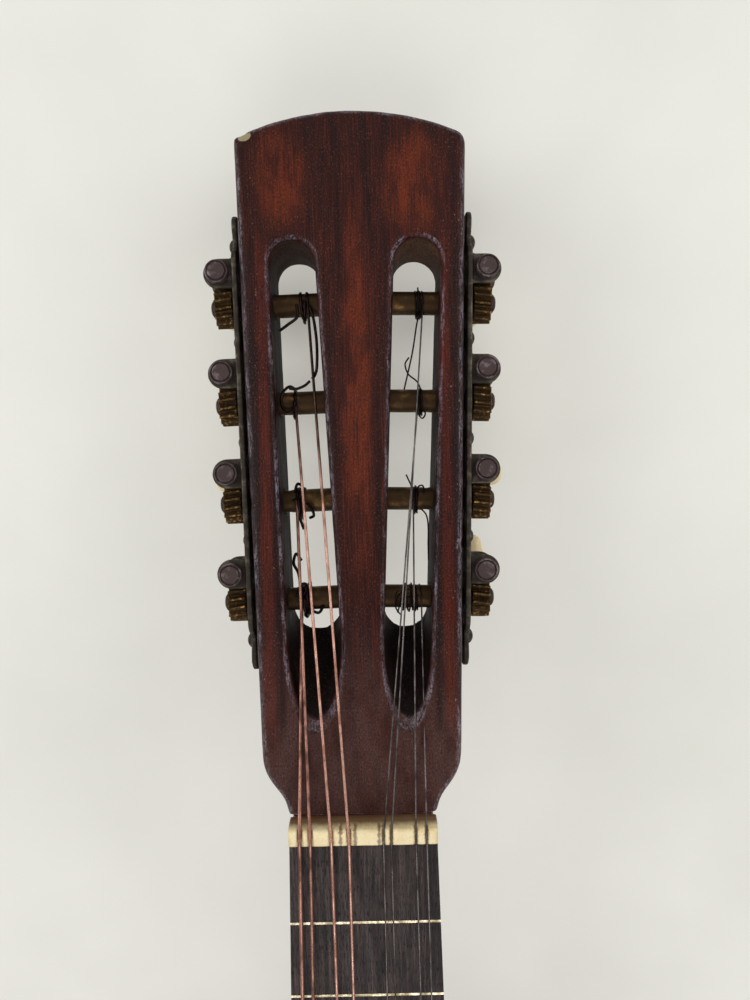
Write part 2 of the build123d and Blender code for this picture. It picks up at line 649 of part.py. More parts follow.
with BuildPart() as tuner_plate:
    half_run = (PLATE_ENDS[1] - PLATE_ENDS[0]) / 2
    with BuildSketch(Plane.XY.offset(PLATE_GAP)):
        with BuildLine():
            Line((0, PLATE_HALF), (half_run - PLATE_TAPER, PLATE_HALF))
            Spline((half_run - PLATE_TAPER, PLATE_HALF),
                   *[(half_run - from_tip, half) for from_tip, half in PLATE_WAIST], (half_run, 0),
                   tangents=((1, 0), (0.5, -1), (1, 0), (1, 0), (0, -1)))
            mirror(about=Plane.XZ)
            mirror(about=Plane.YZ)
        make_face()
    extrude(amount=PLATE_METAL)
    screw_spots = [(place - sum(PLATE_ENDS) / 2, 0) for place in SCREW_PLACES]
    with BuildSketch():
        with Locations(screw_spots):
            Circle(SCREW_HEAD)
    extrude(amount=PLATE_GAP)
    with Locations(screw_spots):
        Cylinder(SCREW_RADIUS, PLATE_FACE, align=(Align.CENTER, Align.CENTER, Align.MIN),
                 mode=Mode.SUBTRACT)
    for number in range(1, 5):
        roller_x = tuner_along(number) - sum(PLATE_ENDS) / 2
        with Locations((roller_x, 0)):
            Cylinder(ROLLER_NECK + RUN_FIT, 2 * PLATE_FACE, mode=Mode.SUBTRACT)
        for inner in (LUG_INNER, -LUG_INNER - LUG_THICK):
            with BuildSketch(Plane.XZ.offset(-inner)):
                with Locations((roller_x + WORM_AHEAD, PLATE_FACE + WORM_OUT / 2 - 0.1)):
                    Rectangle(2 * LUG_HALF, WORM_OUT + 0.2)
                with Locations((roller_x + WORM_AHEAD, PLATE_FACE + WORM_OUT)):
                    Circle(LUG_HALF)
                    Circle(JOURNAL + RUN_FIT, mode=Mode.SUBTRACT)
            extrude(amount=-LUG_THICK)

plate_middle = side_plane("right", sum(PLATE_ENDS) / 2, ROLLER_DEPTH)
with BuildPart() as tuner_plate_right:
    add(place_right(tuner_plate, plate_middle))
save(tuner_plate_right, "tuner_plate_right")

with BuildPart() as tuner_plate_left:
    mirror(tuner_plate_right.part, about=Plane.YZ)
save(tuner_plate_left, "tuner_plate_left")

with BuildPart() as plate_screw:
    with BuildSketch(Plane.XZ):
        with BuildLine():
            dome_top = PLATE_FACE + SCREW_DOME
            ThreePointArc((0, dome_top), (SCREW_HEAD * 0.57, PLATE_FACE + SCREW_DOME * 0.73),
                          (SCREW_HEAD - 0.3, PLATE_FACE))
            Polyline((SCREW_HEAD - 0.3, PLATE_FACE), (SCREW_RADIUS, PLATE_FACE),
                     (SCREW_RADIUS, SCREW_CUT - SCREW_DEEP), (0, -SCREW_DEEP), (0, dome_top))
        make_face()
    revolve(axis=Axis.Z)
    with Locations((0, 0, dome_top)):
        Box(3 * SCREW_HEAD, SCREW_CUT, 2 * SCREW_CUT, mode=Mode.SUBTRACT)

with BuildPart() as plate_screws:
    for place in SCREW_PLACES:
        add(place_right(plate_screw, side_plane("right", place, ROLLER_DEPTH)))
    mirror(about=Plane.YZ)
save(plate_screws, "plate_screws")

with BuildPart() as roller:
    with BuildSketch(Plane.XZ):
        wheel_inner = PLATE_FACE + WHEEL_FACES[0]
        with BuildLine():
            Polyline((0, -ROLLER_REACH + 0.2), (ROLLER_RADIUS, -ROLLER_REACH + 0.2),
                     (ROLLER_RADIUS, PLATE_GAP - 0.15), (ROLLER_NECK, PLATE_GAP - 0.15),
                     (ROLLER_NECK, wheel_inner), (ROLLER_STUB, wheel_inner),
                     (ROLLER_STUB, PLATE_FACE + WHEEL_FACES[1] - 0.2),
                     (0, PLATE_FACE + WHEEL_FACES[1] - 0.2), close=True)
        make_face()
    revolve(axis=Axis.Z)
    with Locations((0, 0, PLATE_FACE + WHEEL_FACES[1])):
        Cylinder(WHEEL_SCREW_SHANK[0] + SCREW_PLAY, 2 * (WHEEL_SCREW_SHANK[1] + 0.5), mode=Mode.SUBTRACT)
    with Locations(Location((0, 0, -STRING_HOLE[1]), (0, 90, 0))):
        Cylinder(STRING_HOLE[0], 3 * ROLLER_RADIUS, mode=Mode.SUBTRACT)


def wheel_outline(out):
    """Corners of the wheel's teeth at this distance from the plate; they follow the worm's thread."""
    twist = (out - WORM_OUT) * TOOTH_PITCH / (2 * pi * WORM_RADIUS) / WHEEL_PITCH_RADIUS
    tip = WHEEL_PITCH_RADIUS + ADDENDUM
    half_pitch = TOOTH_SHARE * TOOTH_PITCH / 2
    root_angle = (half_pitch + (WHEEL_PITCH_RADIUS - WHEEL_ROOT) * FLANK) / WHEEL_ROOT
    tip_angle = (half_pitch - ADDENDUM * FLANK) / tip
    corners = []
    for tooth in range(WHEEL_TEETH):
        middle = 2 * pi * tooth / WHEEL_TEETH + twist
        for radius, swing in ((WHEEL_ROOT, -root_angle), (tip, -tip_angle),
                              (tip, tip_angle), (WHEEL_ROOT, root_angle)):
            corners.append((radius * cos(middle + swing), radius * sin(middle + swing)))
    return corners


with BuildPart() as worm_wheel:
    for out in WHEEL_FACES:
        with BuildSketch(Plane.XY.offset(PLATE_FACE + out)):
            with BuildLine():
                Polyline(*wheel_outline(out), close=True)
            make_face()
    loft(ruled=True)
    with Locations((0, 0, PLATE_FACE)):
        Cylinder(ROLLER_STUB, 12, mode=Mode.SUBTRACT)
    with BuildSketch(Plane.XZ):
        with BuildLine():
            head_seat = PLATE_FACE + WHEEL_FACES[1] + SEAT_GAP
            head_top = head_seat + WHEEL_SCREW[1]
            Polyline((0, head_top), (WHEEL_SCREW_EDGE[0], head_top),
                     (WHEEL_SCREW[0], head_seat + WHEEL_SCREW_EDGE[1]), (WHEEL_SCREW[0], head_seat),
                     (WHEEL_SCREW_SHANK[0], head_seat),
                     (WHEEL_SCREW_SHANK[0], head_seat - WHEEL_SCREW_SHANK[1]),
                     (0, head_seat - WHEEL_SCREW_SHANK[1]), close=True)
        make_face()
    revolve(axis=Axis.Z)
    with Locations((0, 0, head_top)):
        Box(3 * WHEEL_SCREW[0], WHEEL_SCREW_CUT, WHEEL_SCREW[1], mode=Mode.SUBTRACT)

with BuildPart() as worm_shaft:
    thread_half = WORM_TURNS * TOOTH_PITCH / 2
    with BuildSketch(Plane.XZ):
        lug_outer = LUG_INNER + LUG_THICK + 0.1
        with BuildLine():
            face = lug_outer + SHAFT_HEAD[1]
            Polyline((0, face), (HEAD_GROOVE[0], face), (HEAD_GROOVE[0], face - HEAD_GROOVE[2]),
                     (HEAD_GROOVE[1], face - HEAD_GROOVE[2]), (HEAD_GROOVE[1], face - HEAD_RIM[1]),
                     (HEAD_RIM[0], face - HEAD_RIM[1]), (SHAFT_HEAD[0], face - HEAD_RIM[2]),
                     (SHAFT_HEAD[0], lug_outer),
                     (JOURNAL, lug_outer), (JOURNAL, LUG_INNER - 0.2),
                     (WORM_ROOT, LUG_INNER - 0.2), (WORM_ROOT, 0.2 - LUG_INNER),
                     (JOURNAL, 0.2 - LUG_INNER), (JOURNAL, -lug_outer), (COLLAR[0], -lug_outer),
                     (COLLAR[0], -lug_outer - COLLAR[1]), (JOURNAL, -lug_outer - COLLAR[1]),
                     (JOURNAL, -BUTTON_NECK - BUTTON_SEAT), (0, -BUTTON_NECK - BUTTON_SEAT),
                     close=True)
        make_face()
    revolve(axis=Axis.Z)
    with BuildLine() as helix_line:
        Helix(TOOTH_PITCH, 2 * thread_half, WORM_ROOT - 0.1, center=(0, 0, -thread_half))
    with BuildSketch(Plane(origin=helix_line.line @ 0, x_dir=(1, 0, 0), z_dir=helix_line.line % 0)):
        root_half = THREAD_SHARE * TOOTH_PITCH / 2 + (WORM_RADIUS - WORM_ROOT + 0.1) * FLANK
        crest_half = THREAD_SHARE * TOOTH_PITCH / 2 - ADDENDUM * FLANK
        thread_tall = WORM_RADIUS + ADDENDUM - WORM_ROOT + 0.1
        Polygon((0, -root_half), (thread_tall, -crest_half), (thread_tall, crest_half), (0, root_half),
                align=None)
    sweep(path=helix_line.line, is_frenet=True)

with BuildPart() as button:
    with BuildSketch(Plane.XY.offset(-BUTTON_NECK - BUTTON_STEM[1])):
        RectangleRounded(BUTTON[0], BUTTON[1], BUTTON_CORNER)
    extrude(amount=BUTTON_STEM[1] - BUTTON[2])
    fillet(edges().filter_by(Plane.XY), BUTTON_ROUND)
    with Locations((0, 0, -BUTTON_NECK)):
        Cylinder(BUTTON_STEM[0], 2 * BUTTON_STEM[1], align=(Align.CENTER, Align.CENTER, Align.MAX))
        Cylinder(JOURNAL, BUTTON_SEAT, align=(Align.CENTER, Align.CENTER, Align.MAX), mode=Mode.SUBTRACT)

for number in range(1, 5):
    roller_plane = side_plane("right", tuner_along(number), ROLLER_DEPTH)
    worm_origin = side_plane("right", tuner_along(number) + WORM_AHEAD, ROLLER_DEPTH,
                             PLATE_FACE + WORM_OUT).origin
    worm_plane = Plane(origin=worm_origin, x_dir=-roller_plane.x_dir, z_dir=HEAD.z_dir)
    for side in SIDES:
        button_turn = 90 - BUTTON_TURNS[side][number - 1]
        for master, plane, turn, name in ((roller, roller_plane, 0, "roller"),
                                          (worm_wheel, roller_plane, 0, "worm_wheel"),
                                          (worm_shaft, worm_plane, 0, "worm_shaft"),
                                          (button, worm_plane, button_turn, "button")):
            with BuildPart() as tuner_piece:
                if side == "right":
                    add(place_right(master, plane, turn))
                else:
                    mirror(place_right(master, plane, turn), about=Plane.YZ)
            save(tuner_piece, f"{name}_{side}_{number}")
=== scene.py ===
import json
import math
import bmesh
import bpy
import numpy as np
from mathutils import Matrix, Vector


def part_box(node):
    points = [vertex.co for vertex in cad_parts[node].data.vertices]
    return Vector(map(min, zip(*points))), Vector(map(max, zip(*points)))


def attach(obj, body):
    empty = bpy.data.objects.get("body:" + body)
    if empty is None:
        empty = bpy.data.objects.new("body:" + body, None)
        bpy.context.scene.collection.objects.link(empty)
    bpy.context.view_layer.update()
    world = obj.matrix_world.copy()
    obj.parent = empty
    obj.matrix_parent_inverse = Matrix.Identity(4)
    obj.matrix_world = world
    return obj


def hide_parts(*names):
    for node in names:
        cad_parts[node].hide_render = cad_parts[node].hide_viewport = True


# A charango on its back, seen straight down onto its slotted head. Lengths in the names
# and tables below are millimetres, unless they say metres; the scene itself is in metres.

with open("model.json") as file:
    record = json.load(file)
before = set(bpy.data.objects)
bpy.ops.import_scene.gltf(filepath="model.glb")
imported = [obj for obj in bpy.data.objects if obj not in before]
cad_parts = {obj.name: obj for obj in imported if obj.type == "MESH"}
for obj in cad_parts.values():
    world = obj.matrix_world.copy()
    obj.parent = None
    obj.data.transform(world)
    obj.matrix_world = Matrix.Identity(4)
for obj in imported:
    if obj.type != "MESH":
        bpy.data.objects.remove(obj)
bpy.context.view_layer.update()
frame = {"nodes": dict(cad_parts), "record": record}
scene = bpy.context.scene

# --- Places, from the frame -------------------------------------------------------------
MM = 0.001
HEAD_TILT = math.radians(12)
TOP_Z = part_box("soundboard")[1].z / MM
NUT_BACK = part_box("nut")[1].y / MM
NUT_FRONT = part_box("nut")[0].y / MM
SADDLE_Y = (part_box("saddle")[0].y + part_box("saddle")[1].y) / 2 / MM
HOLE_Y = (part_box("rosette")[0].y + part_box("rosette")[1].y) / 2 / MM
HEAD = Matrix.Translation((0, NUT_BACK * MM, TOP_Z * MM)) @ Matrix.Rotation(-HEAD_TILT, 4, "X")
HEAD_BACK = -18.1           # w just inside the head's rear face
SLOTS_END = (20.4, 130.5)   # the slots lie within this of the middle and of the nut
RAIL_MIDDLE = 20.2          # u of about the middle of the rails outside the slots
TUNERS = [(side, number) for side in ("left", "right") for number in range(1, 5)]
ROLLER_RADIUS = 2.7         # of the string rollers
WHEEL_SCREW = 2.3           # radius of the screw's head in a worm wheel
STRING_FOOT = 71.2          # underside of the strings at the nut
SADDLE_LINE = 75.02         # and where their route turns over the saddle
NUT_BREAK = 1.5             # the strings turn down this far behind the nut's front edge
STRING_ROOM = 0.06          # gap between a string and its roller
TIE_HOLE = (-16.0, -8.6, 4.9)       # from the saddle: rear, front; height over the soundboard
TIE_BLOCK = 7.6             # height of the bridge's tie block
TIE_LOOP = 1.3              # the loop over the block lies this far beside the string
LOOSE_RADIUS = 0.35         # of the wound strings' loose ends
STEPS_A_TURN = 26           # points in a turn round a roller
CROSSING_FROM = 0.62        # share of a string's turns after which they go back over the first

# Strings: x at the saddle, x at the nut, tuner, u on its roller, diameter, turns on the
# roller, and how far those drift along it, in string diameters to a turn (+ is to the left)
STRINGS = (
    (-22.4, -13.77, ("left", 4), -13.3, 0.87, 3, -1.3),
    (-19.0, -11.46, ("left", 3), -14.0, 0.78, 2, -1.6),
    (-6.6, -6.91, ("left", 2), -13.9, 0.72, 1, 1.2),
    (-3.4, -3.06, ("left", 1), -10.6, 0.70, 2, 2.2),
    (5.6, 4.42, ("right", 2), 14.6, 0.38, 4, -1.1),
    (8.8, 6.13, ("right", 1), 16.2, 0.38, 5, 1.5),
    (18.0, 11.48, ("right", 3), 13.0, 0.38, 4, -1.1),
    (21.4, 13.82, ("right", 4), 14.4, 0.38, 6, 3.0),
)
OLD_NUT_SLOTS = (-4.9, -1.7, 3.5)

# Loose ends of the strings at each roller, bent by hand: u, v and height over the roller's axis
LOOSE_ENDS = {
    ("left", 1): (
        ((-13.2, 116.0, 3.2), (-13.0, 113.2, 3.0), (-15.2, 111.2, 3.6), (-17.2, 109.9, 3.2)),
        ((-11.6, 117.0, 3.0), (-9.6, 113.9, 3.2), (-8.6, 107.4, 4.2), (-8.6, 101.6, 4.4),
         (-9.0, 99.6, 4.3), (-9.8, 98.45, 4.25)),
    ),
    ("left", 2): (
        ((-10.3, 98.0, 4.1), (-11.6, 97.0, 3.8), (-13.6, 96.3, 3.6), (-15.2, 96.5, 3.5)),
        ((-13.9, 96.4, 3.0), (-15.2, 97.0, 2.8), (-16.6, 95.9, 2.8), (-17.2, 94.0, 2.9),
         (-16.8, 92.0, 2.9), (-15.5, 91.1, 3.0), (-14.2, 91.8, 3.2), (-13.7, 93.4, 3.5)),
    ),
    ("left", 3): (
        ((-14.6, 72.6, 1.6), (-13.8, 74.4, 2.6), (-12.6, 73.4, 3.4), (-13.4, 71.2, 3.6), (-14.8, 70.6, 3.2)),
        ((-13.9, 68.6, 2.8), (-13.4, 66.4, 2.6), (-12.5, 63.8, 2.8)),
        ((-11.8, 70.0, 3.4), (-10.6, 68.6, 3.4), (-10.2, 67.0, 2.4), (-11.2, 66.4, 1.6)),
    ),
    ("left", 4): (
        ((-13.4, 49.6, 3.4), (-13.9, 53.6, 3.6), (-15.0, 56.0, 3.4), (-14.4, 58.2, 3.2), (-13.2, 56.6, 3.0)),
        ((-14.6, 48.4, 3.0), (-13.0, 51.2, 3.0), (-11.4, 50.2, 3.2), (-11.2, 47.8, 3.3), (-12.4, 46.8, 3.2),
         (-13.2, 48.0, 3.2), (-12.2, 49.8, 3.6)),
        ((-12.0, 46.4, 3.0), (-10.8, 44.8, 2.6), (-9.4, 44.4, 2.4), (-8.4, 45.9, 2.2)),
    ),
    ("right", 1): (
        ((16.4, 113.6, 2.6), (14.9, 112.0, 3.2), (13.4, 104.0, 4.4), (11.3, 95.4, 5.2)),
        ((15.9, 115.4, 3.2), (15.3, 117.4, 2.8), (15.0, 119.3, 3.2)),
    ),
    ("right", 2): (
        ((15.4, 95.6, 2.2), (14.4, 97.6, 2.8), (12.4, 99.2, 3.6), (11.7, 101.4, 4.0), (12.6, 103.0, 3.8)),
        ((14.2, 90.6, 2.6), (15.4, 89.0, 3.0), (16.2, 90.2, 2.8), (15.2, 91.6, 3.0)),
    ),
    ("right", 3): (
        ((13.4, 71.6, 2.8), (12.4, 73.8, 3.4), (11.4, 76.0, 3.8)),
        ((14.2, 71.2, 3.0), (14.1, 73.0, 3.2), (15.2, 73.4, 3.2), (15.6, 71.8, 3.0)),
        ((14.6, 68.2, 2.6), (15.9, 66.6, 3.0), (16.3, 64.0, 3.2), (16.2, 60.0, 3.4), (16.2, 56.2, 3.2)),
    ),
    ("right", 4): (
        ((13.6, 48.0, 3.0), (11.6, 49.4, 3.4), (9.2, 48.2, 3.4), (8.4, 45.4, 3.0), (9.6, 43.4, 2.6)),
        ((13.2, 46.4, 3.0), (10.8, 45.4, 3.8), (8.6, 47.4, 4.0), (9.0, 49.2, 3.8), (10.6, 48.6, 3.4)),
        ((12.8, 47.2, 3.2), (10.2, 47.6, 3.2), (8.8, 44.0, 2.6)),
    ),
}


def on_head(u, v, w=0.0):
    """A point in the scene: u across the head, v from the nut to the tip, w out of the face."""
    return HEAD @ (Vector((u, v, w)) * MM)


def joint(name):
    """The joint's middle and its axis, in the scene."""
    found = next(j for j in frame["record"]["behaviour"]["joints"] if j["name"] == name)
    return Vector(found["pos_m"]), Vector(found["axis"]).normalized()


# --- Camera, light and floor ----------------------------------------------------------------
CAMERA_PLACE = (4.106, 70.28, 161.3)     # u, v and distance from the head's face
CAMERA_ROLL = math.radians(1.19)
LENS = 26.0                 # focal length
SHEET_GLOW = 0.5            # strength of the faint light that the sheet on the floor gives off
AIMED_AT = (0, 0.1, 0.05)   # where the lamps point, in metres


def make_camera():
    """A camera square to the head's face, as close as the photographer held it."""
    across = HEAD.to_3x3() @ Vector((math.cos(CAMERA_ROLL), -math.sin(CAMERA_ROLL), 0))
    up = HEAD.to_3x3() @ Vector((math.sin(CAMERA_ROLL), math.cos(CAMERA_ROLL), 0))
    camera = bpy.data.objects.new("camera", bpy.data.cameras.new("camera"))
    camera.data.lens = LENS
    camera.data.clip_start = 0.01
    camera.matrix_world = Matrix.Translation(on_head(*CAMERA_PLACE)) @ Matrix(
        (across, up, across.cross(up))).transposed().to_4x4()
    scene.collection.objects.link(camera)
    scene.camera = camera


def make_light(name, place, size, watts):
    """A soft square lamp aimed at the instrument; its place and size are in metres."""
    lamp = bpy.data.objects.new(name, bpy.data.lights.new(name, "AREA"))
    lamp.data.size = size
    lamp.data.energy = watts
    lamp.location = place
    lamp.rotation_euler = (Vector(AIMED_AT) - Vector(place)).to_track_quat("-Z", "Y").to_euler()
    scene.collection.objects.link(lamp)


def make_studio():
    """Soft light from above, from both sides and from past the tip."""
    make_light("lamp_over_body", (0.0, -0.75, 1.1), 0.9, 7)
    make_light("lamp_left", (-1.1, 0.5, 0.9), 0.8, 8.5)
    make_light("lamp_right", (1.1, 0.6, 0.9), 0.8, 7.5)
    make_light("lamp_past_tip", (0.1, 1.3, 0.8), 0.8, 2.5)
    world = bpy.data.worlds.new("studio")
    world.use_nodes = True
    world.node_tree.nodes["Background"].inputs["Color"].default_value = (1.0, 0.99, 0.96, 1)
    world.node_tree.nodes["Background"].inputs["Strength"].default_value = 0.30
    scene.world = world
    scene.view_settings.view_transform = "Standard"


def make_floor():
    """A pale sheet, plain but for faint clouds, that glows a little."""
    mesh = bpy.data.meshes.new("floor")
    reach = 4.0
    mesh.from_pydata([(-reach, -reach, 0), (reach, -reach, 0), (reach, reach, 0), (-reach, reach, 0)],
                     [], [(0, 1, 2, 3)])
    floor = bpy.data.objects.new("floor", mesh)
    scene.collection.objects.link(floor)
    paint = Paint("floor_sheet", 0.7)
    cloud = paint.noise(paint.place(), (90, 90, 90), 3)
    cloth = paint.ramp(cloud, (0.3, srgb(188, 187, 180)), (0.7, srgb(196, 195, 189)))
    paint.colour(cloth)
    # painted glow: the sheet gives off a faint light of its own, though it is no lamp
    paint.feed(paint.shader.inputs["Emission Color"], cloth)
    paint.feed(paint.shader.inputs["Emission Strength"], SHEET_GLOW)
    floor.data.materials.append(paint.material)


# --- Painting ------------------------------------------------------------------------------------


def srgb(red, green, blue):
    """The linear colour for 0 to 255 screen values."""
    return tuple((value / 255) ** 2.2 for value in (red, green, blue)) + (1.0,)


class Paint:
    """One procedural material. Its methods add nodes and hand back their outputs."""

    def __init__(self, name, roughness=0.5, metallic=0.0, specular=0.5):
        self.material = bpy.data.materials.new(name)
        self.material.use_nodes = True
        self.tree = self.material.node_tree
        self.shader = self.tree.nodes["Principled BSDF"]
        self.shader.inputs["Roughness"].default_value = roughness
        self.shader.inputs["Metallic"].default_value = metallic
        self.shader.inputs["Specular IOR Level"].default_value = specular

    def feed(self, socket, value):
        """Links an output to a socket, or sets the socket to a plain value."""
        if isinstance(value, bpy.types.NodeSocket):
            self.tree.links.new(value, socket)
        else:
            socket.default_value = value

    def node(self, kind, inputs=(), **settings):
        """A new shader node with its settings made and its inputs fed."""
        made = self.tree.nodes.new("ShaderNode" + kind)
        for name, value in settings.items():
            setattr(made, name, value)
        for name, value in dict(inputs).items():
            self.feed(made.inputs[name], value)
        return made

    def place(self, from_head=False):
        """Where a point is, in millimetres, in the model's frame or in the head's own."""
        point = self.node("TexCoord").outputs["Object"]
        if not from_head:
            return self.node("Mapping", {"Vector": point, "Scale": (1 / MM,) * 3}).outputs[0]
        back = HEAD.inverted()
        return self.node("Mapping", {
            "Vector": point,
            "Location": back.translation / MM,
            "Rotation": back.to_euler(),
            "Scale": (1 / MM,) * 3,
        }).outputs[0]

    def noise(self, place, size, detail=4.0, rough=0.55, warp=0.0):
        """Noise whose blots are about this size, in millimetres along each axis."""
        stretched = self.node("Mapping", {"Vector": place, "Scale": tuple(1 / s for s in size)})
        return self.node("TexNoise", {
            "Vector": stretched.outputs[0],
            "Scale": 1.0,
            "Detail": detail,
            "Roughness": rough,
            "Distortion": warp,
        }).outputs["Fac"]

    def parts(self, place):
        """The x, y and z of a place."""
        split = self.node("SeparateXYZ", {0: place})
        return split.outputs[0], split.outputs[1], split.outputs[2]

    def maths(self, operation, first, second=0.0):
        return self.node("Math", {0: first, 1: second}, operation=operation).outputs[0]

    def rise(self, value, low, high, start=0.0, end=1.0):
        """A smooth step from start to end as value goes from low to high."""
        return self.node("MapRange", {
            "Value": value, "From Min": low, "From Max": high, "To Min": start, "To Max": end,
        }, interpolation_type="SMOOTHSTEP").outputs["Result"]

    def both(self, *masks):
        """Where all the masks are on."""
        product = masks[0]
        for mask in masks[1:]:
            product = self.maths("MULTIPLY", product, mask)
        return product

    def spot(self, place, middle, reach):
        """A soft blot: 1 at its middle, 0 beyond its reach along each axis."""
        moved = self.node("Mapping", {
            "Vector": place,
            "Location": tuple(-m / r for m, r in zip(middle, reach)),
            "Scale": tuple(1 / r for r in reach),
        })
        length = self.node("VectorMath", {0: moved.outputs[0]}, operation="LENGTH").outputs["Value"]
        return self.rise(length, 0.35, 1.0, 1.0, 0.0)

    def ramp(self, value, *stops, sharp=False):
        """Colours along a value: stops are (place, colour), blended unless they are sharp."""
        made = self.node("ValToRGB", {"Fac": value})
        if sharp:
            made.color_ramp.interpolation = "CONSTANT"
        elements = made.color_ramp.elements
        while len(elements) < len(stops):
            elements.new(0.5)
        for element, (where, colour) in zip(elements, stops):
            element.position = where
            element.color = colour
        return made.outputs["Color"]

    def mix(self, share, first, second):
        """The first colour where share is 0, the second where it is 1."""
        made = self.node("Mix", data_type="RGBA", clamp_factor=True)
        self.feed(made.inputs[0], share)
        self.feed(made.inputs[6], first)
        self.feed(made.inputs[7], second)
        return made.outputs[2]

    def coat(self, under, mask, cover, top):
        """A colour with another laid over it where the mask is on; cover is how dense that is."""
        return self.mix(self.maths("MULTIPLY", mask, cover), under, top)

    def wear(self):
        """How far the edge here is rubbed round: above 0 on edges, below 0 in corners."""
        return self.node("Attribute", attribute_name="wear").outputs["Fac"]

    def colour(self, value):
        self.feed(self.shader.inputs["Base Color"], value)

    def roughness(self, value):
        self.feed(self.shader.inputs["Roughness"], value)

    def bump(self, height, depth):
        """Relief of this depth, in millimetres."""
        made = self.node("Bump", {"Height": height, "Distance": depth * MM, "Strength": 1.0})
        self.feed(self.shader.inputs["Normal"], made.outputs["Normal"])


def stained_grain(paint, place, fibre, blot):
    """The head's red-brown stain: warm past and between the slots, greyed near the nut by a painted sheen,
    black on rims.
    """
    u, v, _ = paint.parts(place)
    u_size = paint.maths("ABSOLUTE", u)
    band = paint.noise(place, (2.2, 48, 2.2), 4)
    colour = paint.ramp(fibre, (0.28, srgb(22, 9, 7)), (0.5, srgb(52, 20, 13)), (0.74, srgb(88, 37, 23)))
    colour = paint.mix(paint.rise(band, 0.42, 0.62, 0.0, 0.7), colour, srgb(29, 11, 11))
    warm = paint.spot(place, (-15.5, 143, 0), (8, 15, 6))
    for middle, reach in (((14.0, 141, 0), (9, 16, 6)), ((0.6, 96, 0), (4.8, 56, 6))):
        warm = paint.maths("MAXIMUM", warm, paint.spot(place, middle, reach))
    warm = paint.both(warm, paint.rise(blot, 0.34, 0.66, 0.15, 1.0), paint.rise(fibre, 0.3, 0.6, 0.35, 1.0))
    colour = paint.coat(colour, warm, 0.8, srgb(118, 49, 22))
    # painted sheen: the face is greyed near the nut, as if it reflected the lamp
    dull = paint.both(paint.rise(v, 16, 50, 1.0, 0.0), paint.rise(blot, 0.3, 0.65, 0.35, 1.0))
    colour = paint.coat(colour, dull, 0.8, srgb(82, 58, 54))
    off_middle = paint.maths("ABSOLUTE", paint.maths("SUBTRACT", u_size, RAIL_MIDDLE))
    on_rail = paint.both(paint.rise(u_size, 16.0, 17.5), paint.rise(v, 122, 134, 1.0, 0.0),
                         paint.rise(v, 14, 24))
    red = paint.both(on_rail, paint.rise(off_middle, 0.4, 1.8, 1.0, 0.0),
                     paint.rise(fibre, 0.3, 0.6, 0.3, 1.0))
    colour = paint.coat(colour, red, 0.45, srgb(98, 38, 23))
    black = paint.both(on_rail, paint.rise(off_middle, 1.2, 2.8, 0.0, 0.8),
                       paint.rise(blot, 0.3, 0.6, 0.5, 1.0))
    colour = paint.mix(black, colour, srgb(20, 12, 13))
    grime = paint.both(paint.rise(blot, 0.54, 0.7), paint.rise(fibre, 0.35, 0.6))
    return paint.coat(colour, grime, 0.7, srgb(16, 9, 9))


def slot_walls(paint, place, fibre):
    """Where the slots' walls and ramps are, and their black dirt with bare wood at the tip end."""
    u, v, w = paint.parts(place)
    side, tip = SLOTS_END
    inside = paint.both(paint.rise(w, -2.2, -0.9, 1.0, 0.0), paint.rise(w, HEAD_BACK, HEAD_BACK + 0.4),
                        paint.rise(paint.maths("ABSOLUTE", u), side, side + 0.5, 1.0, 0.0),
                        paint.rise(v, tip, tip + 0.7, 1.0, 0.0))
    bare = paint.both(paint.rise(v, 122, 127.5), paint.rise(fibre, 0.35, 0.6, 0.1, 0.9),
                      paint.rise(u, -6, 6, 0.35, 1.0))
    return inside, paint.mix(bare, srgb(15, 10, 10), srgb(104, 70, 47))


def rubbed_varnish_and_highlights(paint, place, grit):
    """Where varnish is rubbed through, along with painted highlights, in specks and short strokes along the
    face's rounded edges.
    """
    _, _, w = paint.parts(place)
    normal = paint.node("NewGeometry").outputs["Normal"]
    outward = tuple(HEAD.to_3x3() @ Vector((0, 0, 1)))
    facing = paint.node("VectorMath", {0: normal, 1: outward}, operation="DOT_PRODUCT").outputs["Value"]
    rounded_edge = paint.both(paint.rise(facing, 0.3, 0.62), paint.rise(facing, 0.88, 0.985, 1.0, 0.0))
    strokes = paint.noise(place, (0.45, 2.6, 0.45), 4, 0.75)
    patches = paint.noise(place, (4, 9, 4), 3)
    return paint.both(paint.maths("MAXIMUM", rounded_edge, paint.rise(paint.wear(), 0.25, 0.8)),
                      paint.rise(w, -1.8, -1.0), paint.rise(patches, 0.36, 0.62, 0.08, 1.0),
                      paint.rise(strokes, 0.4, 0.6), paint.rise(grit, 0.36, 0.56, 0.15, 1.0))


def scuffs_and_chip(paint, place, colour):
    """Fine pale scuffs, more of them toward the outer edges, and the chip at the tip's left corner."""
    u, _, _ = paint.parts(place)
    flecks = paint.noise(place, (0.42, 0.95, 0.42), 2, 0.8)
    toward_edge = paint.rise(paint.maths("ABSOLUTE", u), 13, 23, 0.0, 0.06)
    scuffed = paint.rise(paint.maths("ADD", flecks, toward_edge), 0.75, 0.79)
    colour = paint.coat(colour, scuffed, 0.75, srgb(158, 142, 138))
    ragged = paint.maths("MULTIPLY", paint.noise(place, (0.9, 0.9, 0.9), 3), 0.9)
    chip = paint.maths("SUBTRACT", paint.spot(place, (-23.5, 152.2, -0.4), (2.4, 1.7, 3.0)), ragged)
    return paint.mix(paint.rise(chip, 0.05, 0.16), colour, srgb(150, 140, 104))


